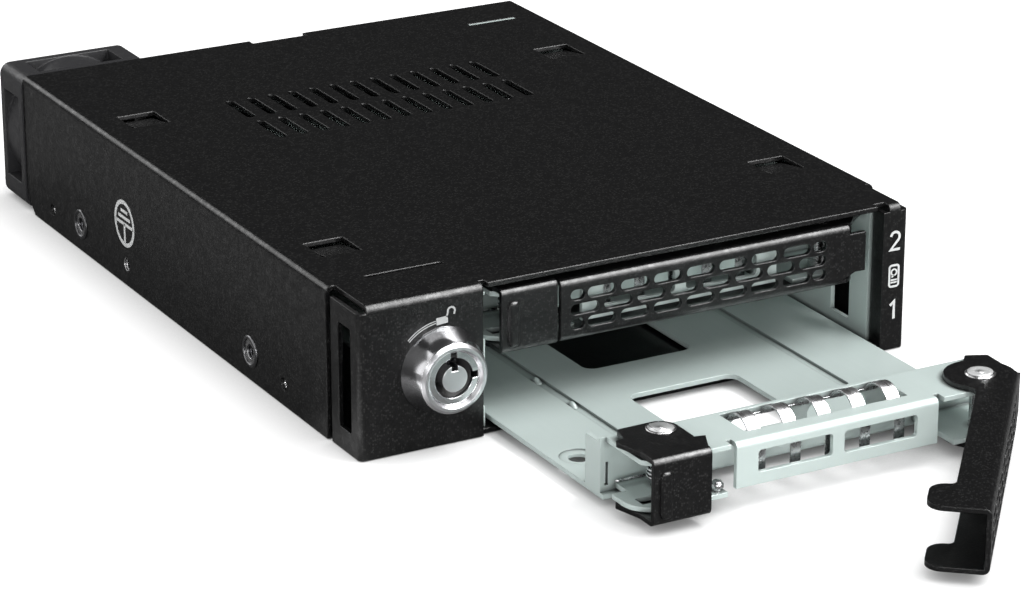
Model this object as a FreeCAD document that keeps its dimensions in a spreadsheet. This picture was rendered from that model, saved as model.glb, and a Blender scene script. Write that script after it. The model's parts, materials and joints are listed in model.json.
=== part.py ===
import FreeCAD, Part
import operator
import os
import Sketcher

V = FreeCAD.Vector

# Driving dimensions: lengths in millimetres, angles in degrees. Depths count back from the front plane,
# heights up from the housing's underside; those of a tray count up from that tray's own level.
DIMENSIONS = (
    ("body_width", "101.6", "housing width, that of a 3.5 inch bay"),
    ("body_height", "25.4", "housing height"),
    ("body_depth", "134", "housing depth"),
    ("cover_sheet", "0.8", "sheet of the cover and the rear panel"),
    ("cover_bend", "1.2", "outside radius of the cover's bends"),
    ("panel_gap", "0.05", "gap between nested sheets and around fasteners"),
    ("side_start", "10.8", "depth where the side walls begin"),
    ("column_bend", "0.9", "outside radius of the columns' upright bends"),
    ("flange_depth", "9.6", "depth of the side flange of a front column"),
    ("flange_inset", "0.25", "step of that flange inside the side wall"),
    ("flange_drop", "1.2", "gap above the flange under the top sheet"),
    ("flange_slot_start", "2.8", "depth of the slot in the flange"),
    ("flange_slot_width", "4.3", "width of that slot"),
    ("flange_slot_corner", "0.5", "corner radius of that slot"),
    ("flange_slot_low", "3.6", "height of that slot's lower end"),
    ("flange_slot_high", "21", "height of that slot's upper end"),
    ("lock_column", "21.95", "width of the column that holds the lock"),
    ("number_column", "5.05", "width of the column with the bay numbers"),
    ("column_return", "3", "depth of the fold beside the opening"),
    ("lintel_set", "0.4", "set-back of the top sheet over the opening"),
    ("relief_width", "1", "width of a bend relief"),
    ("relief_depth", "1.8", "depth of a bend relief"),
    ("heel", "3.4", "bevel at the rear lower corner of a side wall"),
    ("vent_count", "13", "air slots in a row"),
    ("vent_pitch", "4.06", "step between air slots"),
    ("vent_length", "10.2", "length of an air slot"),
    ("vent_width", "1.7", "width of an air slot"),
    ("vent_front", "85.1", "depth of the front row's centre"),
    ("vent_step", "12.6", "step from the front row to the back row"),
    ("lance_span", "83.4", "distance across the top between lances"),
    ("lance_size", "7", "side of a lanced window"),
    ("lance_front", "26.5", "depth of the front lances"),
    ("lance_step", "74", "step to the back lances"),
    ("lance_drop", "1", "fall of a lance's tongue"),
    ("lance_side", "0.6", "gap beside the tongue"),
    ("key_slot_centre", "-36.6", "place across of the thin slot over the lock"),
    ("key_slot_length", "13.9", "length of that slot"),
    ("key_slot_width", "0.9", "width of that slot"),
    ("key_slot_set", "11.8", "depth of that slot"),
    ("rear_notch_width", "11", "width of the notch in the rear edge"),
    ("rear_notch_depth", "1.6", "depth of that notch"),
    ("mount_front", "38.8", "depth of the first side mounting hole"),
    ("mount_spacing", "70", "distance between side mounting holes"),
    ("mount_height", "5", "height of the side mounting holes"),
    ("mount_hole", "1.25", "radius of a mounting hole"),
    ("insert_radius", "2.3", "outside radius of a threaded insert"),
    ("screw_front", "26.4", "depth of the front case screw"),
    ("screw_back", "121.8", "depth of the back case screw"),
    ("screw_height", "3.7", "height of the case screws"),
    ("screw_radius", "1", "radius of a case screw"),
    ("screw_length", "3", "length of a case screw"),
    ("ground_set", "88.8", "depth of the earth hole"),
    ("ground_height", "3.9", "height of the earth hole"),
    ("ground_radius", "1.3", "radius of the earth hole"),
    ("floor_sheet", "0.8", "sheet of the bottom plate"),
    ("floor_flange", "7.4", "height of the bottom plate's flanges"),
    ("runner_spread", "56", "distance between the pressed runners"),
    ("runner_width", "2.4", "foot width of a runner"),
    ("runner_height", "0.5", "height of a runner"),
    ("runner_start", "18", "depth where the runners begin"),
    ("runner_length", "92", "length of a runner"),
    ("guide_sheet", "0.8", "sheet of the guides and the bracket"),
    ("guide_head", "1.2", "gap above the guide walls"),
    ("left_gap", "1", "side gap from the trays to the left guide"),
    ("right_gap", "1.8", "side gap from the trays to the right guide"),
    ("left_start", "1.8", "depth where the left guide begins"),
    ("right_start", "3.3", "depth where the right guide begins"),
    ("guide_end", "118", "depth where the guides end"),
    ("guide_foot", "2.8", "width of a guide's foot"),
    ("guide_notch", "8", "depth of a notch for the latch"),
    ("notch_low", "4.2", "lower edge of that notch"),
    ("notch_high", "11.6", "upper edge of that notch"),
    ("shelf_lap", "1.2", "support of the upper tray on a shelf tab"),
    ("shelf_length", "14", "length of a shelf tab"),
    ("shelf_front", "20", "depth of the first shelf tab"),
    ("shelf_step", "38", "step between shelf tabs"),
    ("shelf_count", "3", "shelf tabs on a guide"),
    ("shelf_gap", "0.1", "play between shelf and tray"),
    ("tooth_window_start", "8.6", "depth of the window beside the lever's tooth"),
    ("tooth_window", "5.4", "length of that window"),
    ("tooth_window_low", "3", "lower edge of that window"),
    ("tooth_window_high", "11", "upper edge of that window"),
    ("guide_window_start", "34", "depth of the first air window in the right guide"),
    ("guide_window", "9", "length of an air window in the right guide"),
    ("guide_window_step", "26", "step between those windows"),
    ("fan_size", "25", "side of the fan"),
    ("fan_depth", "10", "depth of the fan"),
    ("fan_across", "-38.6", "place across of the fan's centre"),
    ("fan_height", "12.8", "height of the fan's centre"),
    ("fan_bore", "11.5", "radius of the fan's duct"),
    ("fan_wall", "0.8", "wall of the duct"),
    ("fan_plate", "1.6", "thickness of the fan's end plates"),
    ("fan_corner", "2", "corner radius of the fan"),
    ("fan_post", "4.3", "side of the posts in the fan's corners"),
    ("fan_pitch", "20", "distance between the fan's screws"),
    ("fan_screw", "1.2", "radius of a fan screw"),
    ("fan_head", "2.2", "radius of a fan screw's head"),
    ("fan_head_rise", "1.3", "height of a fan screw's head"),
    ("fan_hub", "6.4", "radius of the fan's hub"),
    ("fan_strut", "1.6", "width of the fan's struts"),
    ("fan_strut_count", "3", "struts of the fan"),
    ("fan_back", "1.8", "thickness of the hub plate and struts"),
    ("fan_pin", "1.2", "radius of the pin that the impeller runs on"),
    ("fan_pin_length", "5", "length of that pin"),
    ("fan_run", "0.05", "running clearance on the pin"),
    ("fan_tip", "0.5", "gap outside the blades"),
    ("fan_end_gap", "0.7", "gap before and behind the impeller"),
    ("blade_count", "7", "blades on the impeller"),
    ("blade_sheet", "0.9", "thickness of a blade"),
    ("blade_lean_root", "4.6", "lean of a blade at the hub"),
    ("blade_lean_tip", "6.6", "lean of a blade at its tip"),
    ("bracket_set", "123.1", "depth of the bracket's front face"),
    ("bracket_foot", "5", "depth of the bracket's foot"),
    ("bracket_tab", "9.8", "width of the bracket's tab in the top sheet"),
    ("bracket_tab_across", "40.2", "place across of that tab"),
    ("board_sheet", "1.6", "thickness of the circuit board"),
    ("board_margin", "2", "margin of the board inside the guides"),
    ("board_low", "2", "height of the board's lower edge"),
    ("board_high", "23.6", "height of the board's upper edge"),
    ("plug_across", "-2", "place across of the drive receptacles"),
    ("plug_width", "40", "width of a drive receptacle"),
    ("plug_height", "5.2", "height of a drive receptacle"),
    ("plug_depth", "8", "depth of a drive receptacle"),
    ("plug_level", "5.8", "height of a receptacle's middle over its tray"),
    ("plug_slot", "33.4", "width of the receptacle's mouth"),
    ("plug_slot_height", "2.4", "height of that mouth"),
    ("plug_slot_depth", "6", "depth of that mouth"),
    ("plug_key", "1.5", "width of the key between its two parts"),
    ("plug_key_across", "-6", "place of that key from the middle"),
    ("port_across", "-6", "place across of the data ports"),
    ("port_width", "14.6", "width of a data port"),
    ("port_height", "5.8", "height of a data port"),
    ("port_wall", "1", "wall of a port"),
    ("port_tongue", "1.2", "thickness of the tongue in a port"),
    ("port_step", "11.3", "step between the data ports"),
    ("port_level", "7", "height of the lower data port"),
    ("port_proud", "0.6", "stand of the ports out of the rear panel"),
    ("port_play", "0.2", "gap round a port or a receptacle"),
    ("inlet_across", "24", "place across of the power inlet"),
    ("inlet_width", "26.4", "width of the power inlet"),
    ("inlet_height", "6.6", "height of the power inlet"),
    ("inlet_level", "12.6", "height of the power inlet"),
    ("rear_vent_count", "7", "air slots over the power inlet"),
    ("rear_vent_rise", "7.5", "step from the power inlet to a row of air slots"),
    ("lock_across", "-36.2", "place across of the lock"),
    ("lock_height", "12.6", "height of the lock"),
    ("lock_flare", "7.2", "radius of the lock's head at the panel"),
    ("lock_ring", "5.8", "radius of the lock's front ring"),
    ("lock_stand", "4.7", "stand of the lock's head"),
    ("lock_rim", "0.5", "rounding of the front ring"),
    ("lock_dish", "0.7", "depth of the dished face"),
    ("lock_mouth", "3.3", "radius of the key mouth"),
    ("lock_lip", "1", "width of the flat lip round the key mouth"),
    ("lock_post", "2.15", "radius of the centre post"),
    ("lock_well", "5.95", "depth of the key well"),
    ("lock_run", "0.05", "running clearance of the plug"),
    ("lock_notch", "1.1", "width of the key notches"),
    ("lock_notch_deep", "0.9", "radial depth of the key notches"),
    ("lock_barrel", "5.4", "radius of the barrel behind the panel"),
    ("lock_barrel_length", "16", "length of the barrel behind the panel"),
    ("nut_flats", "13", "distance across the flats of the lock nut"),
    ("nut_depth", "3", "thickness of the lock nut"),
    ("cam_gap", "0.3", "gap between barrel and cam"),
    ("cam_sheet", "1.2", "thickness of the cam"),
    ("cam_reach", "9.2", "reach of the cam from the lock's axis"),
    ("cam_width", "4", "width of the cam's arm"),
    ("cam_eye", "4.6", "radius of the cam round the plug"),
    ("cam_window", "3.6", "depth of the cam's window in the guide"),
    ("cam_window_rise", "2.6", "height of that window above the lock's axis"),
    ("cam_window_fall", "8", "height of that window below the lock's axis"),
    ("plug_stub", "2.4", "radius of the plug's stub in the cam"),
    ("cam_screw_head", "3", "radius of the cam screw's head"),
    ("cam_screw_rise", "1.4", "height of the cam screw's head"),
    ("tray_pitch", "11.3", "step from the lower to the upper tray"),
    ("tray_centre", "8.4", "place across of the trays' centre"),
    ("tray_width", "70", "width of a tray"),
    ("tray_end", "110", "depth of a tray's rear edge"),
    ("tray_sheet", "0.8", "sheet of a tray"),
    ("tray_bend", "1", "outside radius of a tray's bends"),
    ("tray_floor", "1.4", "height of a tray's underside"),
    ("tray_pull", "46.3", "distance that the lower tray stands pulled out"),
    ("box_front", "2.4", "depth of the front box's face"),
    ("box_back", "14", "depth of the front box's rear wall"),
    ("box_top", "11.1", "height of the front box"),
    ("box_side", "34", "half width of the front box"),
    ("box_face", "36.4", "width of the front box's face"),
    ("box_face_low", "3.7", "lower edge of that face"),
    ("box_relief", "1", "width of the bend reliefs beside the face"),
    ("box_corner", "3", "bevel of the box's front corners"),
    ("window_width", "13.3", "width of a window in the face"),
    ("window_rib", "2.1", "rib between the windows"),
    ("window_low", "5.6", "lower edge of the windows"),
    ("window_high", "9.2", "upper edge of the windows"),
    ("window_corner", "0.6", "corner radius of the windows"),
    ("rear_slot", "11", "length of an air slot in the box's rear wall"),
    ("rear_slot_height", "4", "height of that air slot"),
    ("rear_slot_step", "14.6", "step between those air slots"),
    ("rear_slot_count", "4", "air slots in the box's rear wall"),
    ("strip_mouth", "29.4", "width of the opening for the spring fingers"),
    ("strip_front", "5.8", "depth of that opening's front edge"),
    ("strip_back", "13.2", "depth of that opening's rear edge"),
    ("ear_low", "2.6", "height of the lower ears"),
    ("ear_left", "14.5", "width of the left ear"),
    ("ear_right", "12.5", "width of the right ear"),
    ("ear_front", "2.6", "depth of the ears' front edge"),
    ("ear_waist", "10.4", "depth where the left ear grows narrow"),
    ("ear_waist_inset", "1.6", "step of the left ear at that depth"),
    ("ear_bow", "5", "corner radius of the left ear"),
    ("ear_slot_left", "33", "far end of the slot in the left ear"),
    ("ear_slot_right", "28.6", "near end of that slot"),
    ("ear_slot_front", "4.8", "depth of that slot's front edge"),
    ("ear_slot_back", "7.2", "depth of that slot's rear edge"),
    ("foot_reach", "0.9", "stand of the floor in front of the side post"),
    ("foot_width", "3", "width of that foot"),
    ("post_slit", "0.6", "width of the slit beside the side post"),
    ("post_slit_top", "7", "upper end of that slit"),
    ("side_post", "3.6", "depth of the tray's side post"),
    ("side_post_top", "10.4", "height of the side post"),
    ("groove_spread", "42.2", "distance between the pressed grooves"),
    ("groove_width", "1.9", "width of a pressed groove"),
    ("groove_depth", "0.45", "depth of a pressed groove"),
    ("groove_swell", "0.2", "swell under a pressed groove"),
    ("groove_start", "32", "depth where the grooves begin"),
    ("groove_length", "69", "length of a groove"),
    ("drive_spread", "61.72", "distance across between drive screws"),
    ("drive_front", "27.6", "depth of the front drive screws"),
    ("drive_step", "76.6", "step to the rear drive screws"),
    ("drive_hole", "1.65", "radius of a drive screw hole"),
    ("drive_ring", "3.1", "radius of the pressed ring round that hole"),
    ("drive_ring_deep", "0.25", "depth of that ring"),
    ("cut_centre", "-1.9", "place across of the cut-outs from the tray's centre"),
    ("cut_width", "20.2", "width of the cut-outs"),
    ("cut_front", "24", "depth where the front cut-out begins"),
    ("cut_front_length", "21.3", "length of the front cut-out"),
    ("cut_back", "57.6", "depth where the rear cut-out begins"),
    ("cut_back_length", "38", "length of the rear cut-out"),
    ("cut_corner", "2", "corner radius of the cut-outs"),
    ("strip_sheet", "0.3", "sheet of the spring strip"),
    ("strip_lap", "1.2", "overlap of the spring strip round its opening"),
    ("finger_count", "5", "spring fingers"),
    ("finger_pitch", "6.3", "step between spring fingers"),
    ("finger_width", "2.4", "width of a spring finger"),
    ("finger_sheet", "0.25", "sheet of a spring finger"),
    ("finger_leg", "1.8", "width of a finger's leg behind the windows"),
    ("finger_leg_low", "4.4", "lower end of that leg"),
    ("finger_side", "0.3", "gap before and behind a finger"),
    ("finger_rise", "1.25", "stand of the fingers above the box"),
    ("pivot_across", "28.3", "place of the lever's pivot from the tray's centre"),
    ("pivot_depth", "5.9", "depth of the lever's pivot"),
    ("pivot_radius", "1.5", "radius of the pivot pins"),
    ("pivot_run", "0.05", "running clearance on the pivot pins"),
    ("pivot_fit", "0.02", "clearance of a pin in the tray"),
    ("pin_head", "2.5", "radius of a pin's head"),
    ("pin_head_rise", "0.3", "height of the lever pin's head"),
    ("pin_foot", "0.25", "height of a pin's foot"),
    ("lever_open", "50", "angle that the lower lever stands open"),
    ("lever_low", "1.7", "lower side of the lever"),
    ("lever_top", "12", "upper side of the lever"),
    ("lever_sheet", "0.8", "sheet of the lever"),
    ("lever_bend", "1.1", "outside radius of the lever's bends"),
    ("lever_reach", "51.7", "length of the lever from its pivot"),
    ("lever_round", "5.7", "radius of the lever round its pivot"),
    ("lever_edge", "0", "edge of the lever's flanges behind its pivot"),
    ("ear_reach", "3.7", "stand of the lever's ear behind its pivot"),
    ("ear_width", "8.2", "width of the lever's ear"),
    ("ear_corner", "2.6", "corner radius of the lever's ear"),
    ("ear_root", "1", "rounding where the ear leaves the flange"),
    ("lever_neck", "2.4", "rounding where the lever's round end leaves the flange"),
    ("lever_tooth", "8.2", "reach of the lever's tooth"),
    ("tooth_front", "0.5", "tooth in front of the pivot"),
    ("tooth_back", "3", "tooth behind the pivot"),
    ("tooth_slope", "0.9", "slope of the tooth's end"),
    ("tooth_corner", "0.6", "corner radius of the tooth"),
    ("tooth_root", "1.2", "rounding where the tooth leaves the round end"),
    ("bend_end", "2.5", "end of the lever's upper bend"),
    ("tail_end", "5.6", "end of the lever's face beyond the pivot"),
    ("tail_top", "10.4", "upper edge of the tail"),
    ("tail_low", "3.7", "lower edge of the tail"),
    ("tail_step", "3.7", "start of the tail's step"),
    ("tail_slope", "1.2", "end of the tail's slope before the pivot"),
    ("hole_centre", "26", "middle of the perforation from the pivot"),
    ("hole_pitch", "6.09", "step between perforations"),
    ("hole_length", "5.2", "length of a perforation"),
    ("hole_width", "1.8", "width of a perforation"),
    ("hole_outer_count", "7", "perforations in an outer row"),
    ("hole_level", "6.85", "height of the middle row"),
    ("hole_row", "2.43", "step between rows"),
    ("hole_small", "2.6", "length of the short perforations"),
    ("hole_small_set", "22.65", "place of the short perforations from the middle"),
    ("latch_across", "-26.8", "place of the latch's pivot from the tray's centre"),
    ("latch_depth", "10.2", "depth of the latch's pivot"),
    ("latch_left", "7.2", "latch face to the left of its pivot"),
    ("latch_right", "2.8", "latch face to the right of its pivot"),
    ("latch_low", "1.65", "lower side of the latch"),
    ("latch_top", "12.4", "upper side of the latch"),
    ("latch_sheet", "0.8", "sheet of the latch"),
    ("latch_bend", "1", "outside radius of the latch's bends"),
    ("latch_eye", "2.9", "radius of the latch round its pivot"),
    ("latch_shoulder", "6.2", "latch shoulder in front of the pivot"),
    ("latch_tip", "8.6", "reach of the latch's side tip"),
    ("latch_tip_set", "0.9", "side tip in front of the pivot"),
    ("latch_notch", "6.7", "notch behind the side tip"),
    ("latch_notch_set", "0.4", "notch in front of the pivot"),
    ("latch_heel", "6.1", "rear corner of the latch to the left"),
    ("latch_heel_set", "2.8", "rear corner behind the pivot"),
    ("latch_corner", "0.7", "rounding of the latch's outline"),
    ("nose_reach", "4.5", "reach of the latch's nose"),
    ("nose_tip", "5.4", "nose tip in front of the pivot"),
    ("nose_front", "9", "nose root in front of the pivot"),
    ("nose_back", "5", "nose rear in front of the pivot"),
    ("nose_sheet", "0.3", "coined thickness of the nose"),
    ("bar_set", "5.3", "raised bar to the left of the pivot"),
    ("bar_level", "6.5", "height of the raised bar's middle"),
    ("bar_length", "6.9", "length of the raised bar"),
    ("bar_width", "1.7", "width of the raised bar"),
    ("bar_proud", "0.35", "stand of the raised bar"),
    ("collar_radius", "2.6", "radius of the latch pin's collar"),
    ("latch_head", "2.4", "radius of the latch pin's head"),
    ("latch_head_rise", "0.2", "height of the latch pin's head"),
    ("spring_wire", "0.5", "wire of the latch spring"),
    ("spring_turns", "5", "turns of the latch spring"),
    ("spring_low", "4.2", "height of the spring's lowest turn"),
    ("spring_gap", "0.2", "gap between pin and spring"),
    ("spring_front_leg", "8.6", "length of the spring's front leg"),
    ("spring_side_leg", "6.6", "length of the spring's side leg"),
    ("stud_across", "-20.6", "place of the spring stud from the tray's centre"),
    ("stud_depth", "4", "depth of the spring stud"),
    ("stud_radius", "1", "radius of the spring stud's head"),
    ("stud_rise", "1.6", "height of the spring stud"),
    ("stud_neck", "0.65", "radius of the spring stud's neck"),
)

FLIPPED = "XZ_Plane"
PLANES = {"XY": "XY_Plane", "XZ": FLIPPED, "YZ": "YZ_Plane"}
AXES = {"X": V(1, 0, 0), "Y": V(0, 1, 0), "Z": V(0, 0, 1)}
SIGNS = {"+": operator.add, "-": operator.sub, "*": operator.mul, "/": operator.truediv}
TOUCH = 0.001


class Size:
    """A dimension that carries its spreadsheet expression along with its value."""

    def __init__(self, text, value):
        self.text = text
        self.value = value

    def __add__(self, other):
        return combined(self, "+", other)

    def __radd__(self, other):
        return combined(other, "+", self)

    def __sub__(self, other):
        return combined(self, "-", other)

    def __rsub__(self, other):
        return combined(other, "-", self)

    def __mul__(self, other):
        return combined(self, "*", other)

    def __rmul__(self, other):
        return combined(other, "*", self)

    def __truediv__(self, other):
        return combined(self, "/", other)

    def __neg__(self):
        return combined(0, "-", self)


def as_size(number):
    """A plain number as a size, a size as it is."""
    if isinstance(number, Size):
        return number
    return Size("(%r)" % float(number), float(number))


def combined(left, sign, right):
    """Two sizes joined by a sign, as an expression and as a value."""
    left = as_size(left)
    right = as_size(right)
    return Size("(%s %s %s)" % (left.text, sign, right.text), SIGNS[sign](left.value, right.value))


def value_of(number):
    return as_size(number).value


class Dimensions:
    """Fills a spreadsheet with the driving dimensions and offers each one by name."""

    def __init__(self, sheet, rows):
        for row, (name, number, meaning) in enumerate(rows, 1):
            sheet.set("A%d" % row, meaning)
            sheet.set("B%d" % row, number)
            sheet.setAlias("B%d" % row, name)
            setattr(self, name, Size("%s.%s" % (sheet.Name, name), float(number)))


doc = FreeCAD.newDocument("drive_bay_adapter")
sheet = doc.addObject("Spreadsheet::Sheet", "dims")
d = Dimensions(sheet, DIMENSIONS)
doc.recompute()
nodes = []


def bind(thing, path, size):
    """Ties one property of an object to a size."""
    thing.setExpression(path, as_size(size).text)


def new_part(label):
    """A sub-part that is written to its own file."""
    part = doc.addObject("PartDesign::Body", label)
    part.Label = label
    nodes.append(part)
    return part


def origin_feature(part, role):
    """One of a part's own origin planes or axes."""
    return [f for f in part.Origin.OriginFeatures if f.Role == role][0]


def place(thing, x, y, z, turn=None):
    """Puts an object at a place that is bound to sizes, turned about an axis by an angle in degrees."""
    if turn is not None:
        axis, angle = turn
        thing.Placement = FreeCAD.Placement(V(0, 0, 0), FreeCAD.Rotation(AXES[axis], value_of(angle)))
    for letter, size in zip("xyz", (x, y, z)):
        bind(thing, "Placement.Base." + letter, size)


def sketch_on(part, plane, level):
    """A sketch on one of the part's origin planes, moved along the plane's axis to a level."""
    sketch = part.newObject("Sketcher::SketchObject", part.Label + "_sketch")
    sketch.AttachmentSupport = [(origin_feature(part, PLANES[plane]), "")]
    sketch.MapMode = "FlatFace"
    bind(sketch, "AttachmentOffset.Base.z", -level if PLANES[plane] == FLIPPED else level)
    return sketch


def tie(sketch, kind, geometry, point, size):
    """Ties the distance of a sketch point from the sketch's origin to a size."""
    number = sketch.addConstraint(Sketcher.Constraint(kind, -1, 1, geometry, point, value_of(size)))
    bind(sketch, "Constraints[%d]" % number, size)


def tie_point(sketch, geometry, point, x, y):
    tie(sketch, "DistanceX", geometry, point, x)
    tie(sketch, "DistanceY", geometry, point, y)


def tie_radius(sketch, geometry, size):
    number = sketch.addConstraint(Sketcher.Constraint("Radius", geometry, value_of(size)))
    bind(sketch, "Constraints[%d]" % number, size)


def polygon(points):
    """A closed loop of straight lines through bound points."""

    def draw(sketch):
        first = sketch.GeometryCount
        count = len(points)
        corners = [V(value_of(x), value_of(y), 0) for x, y in points]
        for i in range(count):
            sketch.addGeometry(Part.LineSegment(corners[i], corners[(i + 1) % count]), False)
        for i in range(count):
            sketch.addConstraint(Sketcher.Constraint("Coincident", first + i, 2, first + (i + 1) % count, 1))
        for i, (x, y) in enumerate(points):
            tie_point(sketch, first + i, 1, x, y)

    return draw


def rectangle(x0, x1, y0, y1):
    return polygon([(x0, y0), (x1, y0), (x1, y1), (x0, y1)])


def circle(x, y, radius):
    """A circle about a bound centre."""

    def draw(sketch):
        centre = V(value_of(x), value_of(y), 0)
        geometry = sketch.addGeometry(Part.Circle(centre, AXES["Z"], value_of(radius)), False)
        tie_point(sketch, geometry, 3, x, y)
        tie_radius(sketch, geometry, radius)

    return draw


def obround(x, y, length, width, upright=False):
    """A slot with round ends about a bound centre."""

    def draw(sketch):
        half = (length - width) / 2
        radius = width / 2
        ends = [(x, y - half), (x, y + half)] if upright else [(x - half, y), (x + half, y)]
        points = [V(value_of(a), value_of(b), 0) for a, b in ends]
        along = (points[1] - points[0]).normalize()
        side = V(-along.y, along.x, 0) * value_of(radius)
        cap = along * value_of(radius)
        first = sketch.addGeometry(Part.Arc(points[0] + side, points[0] - cap, points[0] - side), False)
        sketch.addGeometry(Part.LineSegment(points[0] - side, points[1] - side), False)
        sketch.addGeometry(Part.Arc(points[1] - side, points[1] + cap, points[1] + side), False)
        sketch.addGeometry(Part.LineSegment(points[1] + side, points[0] + side), False)
        for i in range(4):
            sketch.addConstraint(Sketcher.Constraint("Tangent", first + i, 2, first + (i + 1) % 4, 1))
        sketch.addConstraint(Sketcher.Constraint("Equal", first, first + 2))
        tie_point(sketch, first, 3, *ends[0])
        tie_point(sketch, first + 2, 3, *ends[1])
        tie_radius(sketch, first, radius)

    return draw


def arch(x0, x1, base, rise, thickness):
    """A strip bent to a circular arch that stands on a base line."""

    def draw(sketch):
        width = x1 - x0
        outer = width * width / 8 / rise + rise / 2
        inner = outer - thickness
        middle = (x0 + x1) / 2
        sink = value_of(outer - rise)
        foot = (value_of(inner) ** 2 - sink ** 2) ** 0.5
        m, b = value_of(middle), value_of(base)
        near = [V(value_of(x0), b, 0), V(m - foot, b, 0)]
        far = [V(value_of(x1), b, 0), V(m + foot, b, 0)]
        crown = [V(m, b + value_of(rise), 0), V(m, b + value_of(rise - thickness), 0)]
        sketch.addGeometry(Part.Arc(far[0], crown[0], near[0]), False)
        sketch.addGeometry(Part.LineSegment(near[0], near[1]), False)
        sketch.addGeometry(Part.Arc(far[1], crown[1], near[1]), False)
        sketch.addGeometry(Part.LineSegment(far[1], far[0]), False)
        for a, end, c, start in ((0, 2, 1, 1), (1, 2, 2, 2), (2, 1, 3, 1), (3, 2, 0, 1), (0, 3, 2, 3)):
            sketch.addConstraint(Sketcher.Constraint("Coincident", a, end, c, start))
        tie_point(sketch, 0, 1, x1, base)
        tie_point(sketch, 0, 2, x0, base)
        tie_radius(sketch, 0, outer)
        tie_radius(sketch, 2, inner)
        tie(sketch, "DistanceY", 1, 2, base)
        tie(sketch, "DistanceY", 3, 1, base)

    return draw


def drawn(part, plane, level, loops):
    sketch = sketch_on(part, plane, level)
    for loop in loops:
        loop(sketch)
    return sketch


def volume_of(part):
    doc.recompute()
    return part.Shape.Volume if part.Tip else 0.0


def settled(part, feature):
    """Recomputes and makes sure that a feature was built."""
    part.Tip = feature
    doc.recompute()
    if "Invalid" in feature.State:
        raise ValueError("could not build %s on %s" % (feature.Label, part.Label))
    return feature


def add(part, plane, start, end, *loops):
    """Adds material between two levels along the plane's axis."""
    before = volume_of(part)
    sketch = drawn(part, plane, start, loops)
    pad = part.newObject("PartDesign::Pad", part.Label + "_pad")
    pad.Profile = sketch
    pad.Reversed = PLANES[plane] == FLIPPED
    bind(pad, "Length", as_size(end) - start)
    if volume_of(part) <= before + TOUCH:
        raise ValueError("nothing added to " + part.Label)
    return pad


def cut(part, plane, start, end, *loops):
    """Takes material away between two levels along the plane's axis."""
    before = volume_of(part)
    sketch = drawn(part, plane, start, loops)
    pocket = part.newObject("PartDesign::Pocket", part.Label + "_cut")
    pocket.Profile = sketch
    pocket.Reversed = PLANES[plane] != FLIPPED
    bind(pocket, "Length", as_size(end) - start)
    if volume_of(part) >= before - TOUCH:
        raise ValueError("nothing cut from " + part.Label)
    return pocket


def turned(part, plane, points):
    """Material turned about the upright axis of the plane."""
    sketch = drawn(part, plane, 0, [polygon(points)])
    revolution = part.newObject("PartDesign::Revolution", part.Label + "_turned")
    revolution.Profile = sketch
    revolution.ReferenceAxis = (sketch, ["V_Axis"])
    revolution.Angle = 360
    return settled(part, revolution)


def repeat(part, features, axis, step, count):
    """Repeats features along an axis."""
    pattern = part.newObject("PartDesign::LinearPattern", part.Label + "_row")
    pattern.Originals = features
    pattern.Direction = (origin_feature(part, axis + "_Axis"), [""])
    bind(pattern, "Length", step * (count - 1))
    bind(pattern, "Occurrences", count)
    return settled(part, pattern)


def spread(part, features, axis, count):
    """Repeats features all round an axis."""
    pattern = part.newObject("PartDesign::PolarPattern", part.Label + "_round")
    pattern.Originals = features
    pattern.Axis = (origin_feature(part, axis + "_Axis"), [""])
    pattern.Angle = 360
    bind(pattern, "Occurrences", count)
    return settled(part, pattern)


def round_edges(part, axis, places, radius, middle=None):
    """Rounds the straight edges along an axis that pass through the given places."""
    doc.recompute()
    others = [k for k in range(3) if AXES[axis][k] == 0]
    own = "XYZ".index(axis)
    wanted = [[value_of(a), value_of(b)] for a, b in places]
    names = []
    for number, edge in enumerate(part.Shape.Edges, 1):
        if not isinstance(edge.Curve, Part.Line):
            continue
        start, end = edge.Vertexes[0].Point, edge.Vertexes[-1].Point
        centre = (start + end) / 2
        if (end - start).cross(AXES[axis]).Length > TOUCH or (end - start).Length < TOUCH:
            continue
        if middle is not None and abs(centre[own] - value_of(middle)) > TOUCH:
            continue
        if any(all(abs(centre[k] - w[i]) < TOUCH for i, k in enumerate(others)) for w in wanted):
            names.append("Edge%d" % number)
    if not names:
        raise ValueError("no edge to round on " + part.Label)
    return filleted(part, names, radius)


def filleted(part, names, radius):
    """Rounds the named edges of a part."""
    base = part.Tip
    fillet = part.newObject("PartDesign::Fillet", part.Label + "_fillet")
    fillet.Base = (base, names)
    bind(fillet, "Radius", radius)
    return settled(part, fillet)


def cylinder(radius, length):
    """A plain cylinder whose radius and length are bound."""
    solid = doc.addObject("Part::Cylinder", "cylinder")
    bind(solid, "Radius", radius)
    bind(solid, "Height", length)
    return solid


def gathered(label, pieces):
    """Identical pieces kept as one sub-part."""
    group = doc.addObject("Part::Compound", label)
    group.Label = label
    group.Links = pieces
    nodes.append(group)
    return group


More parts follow.
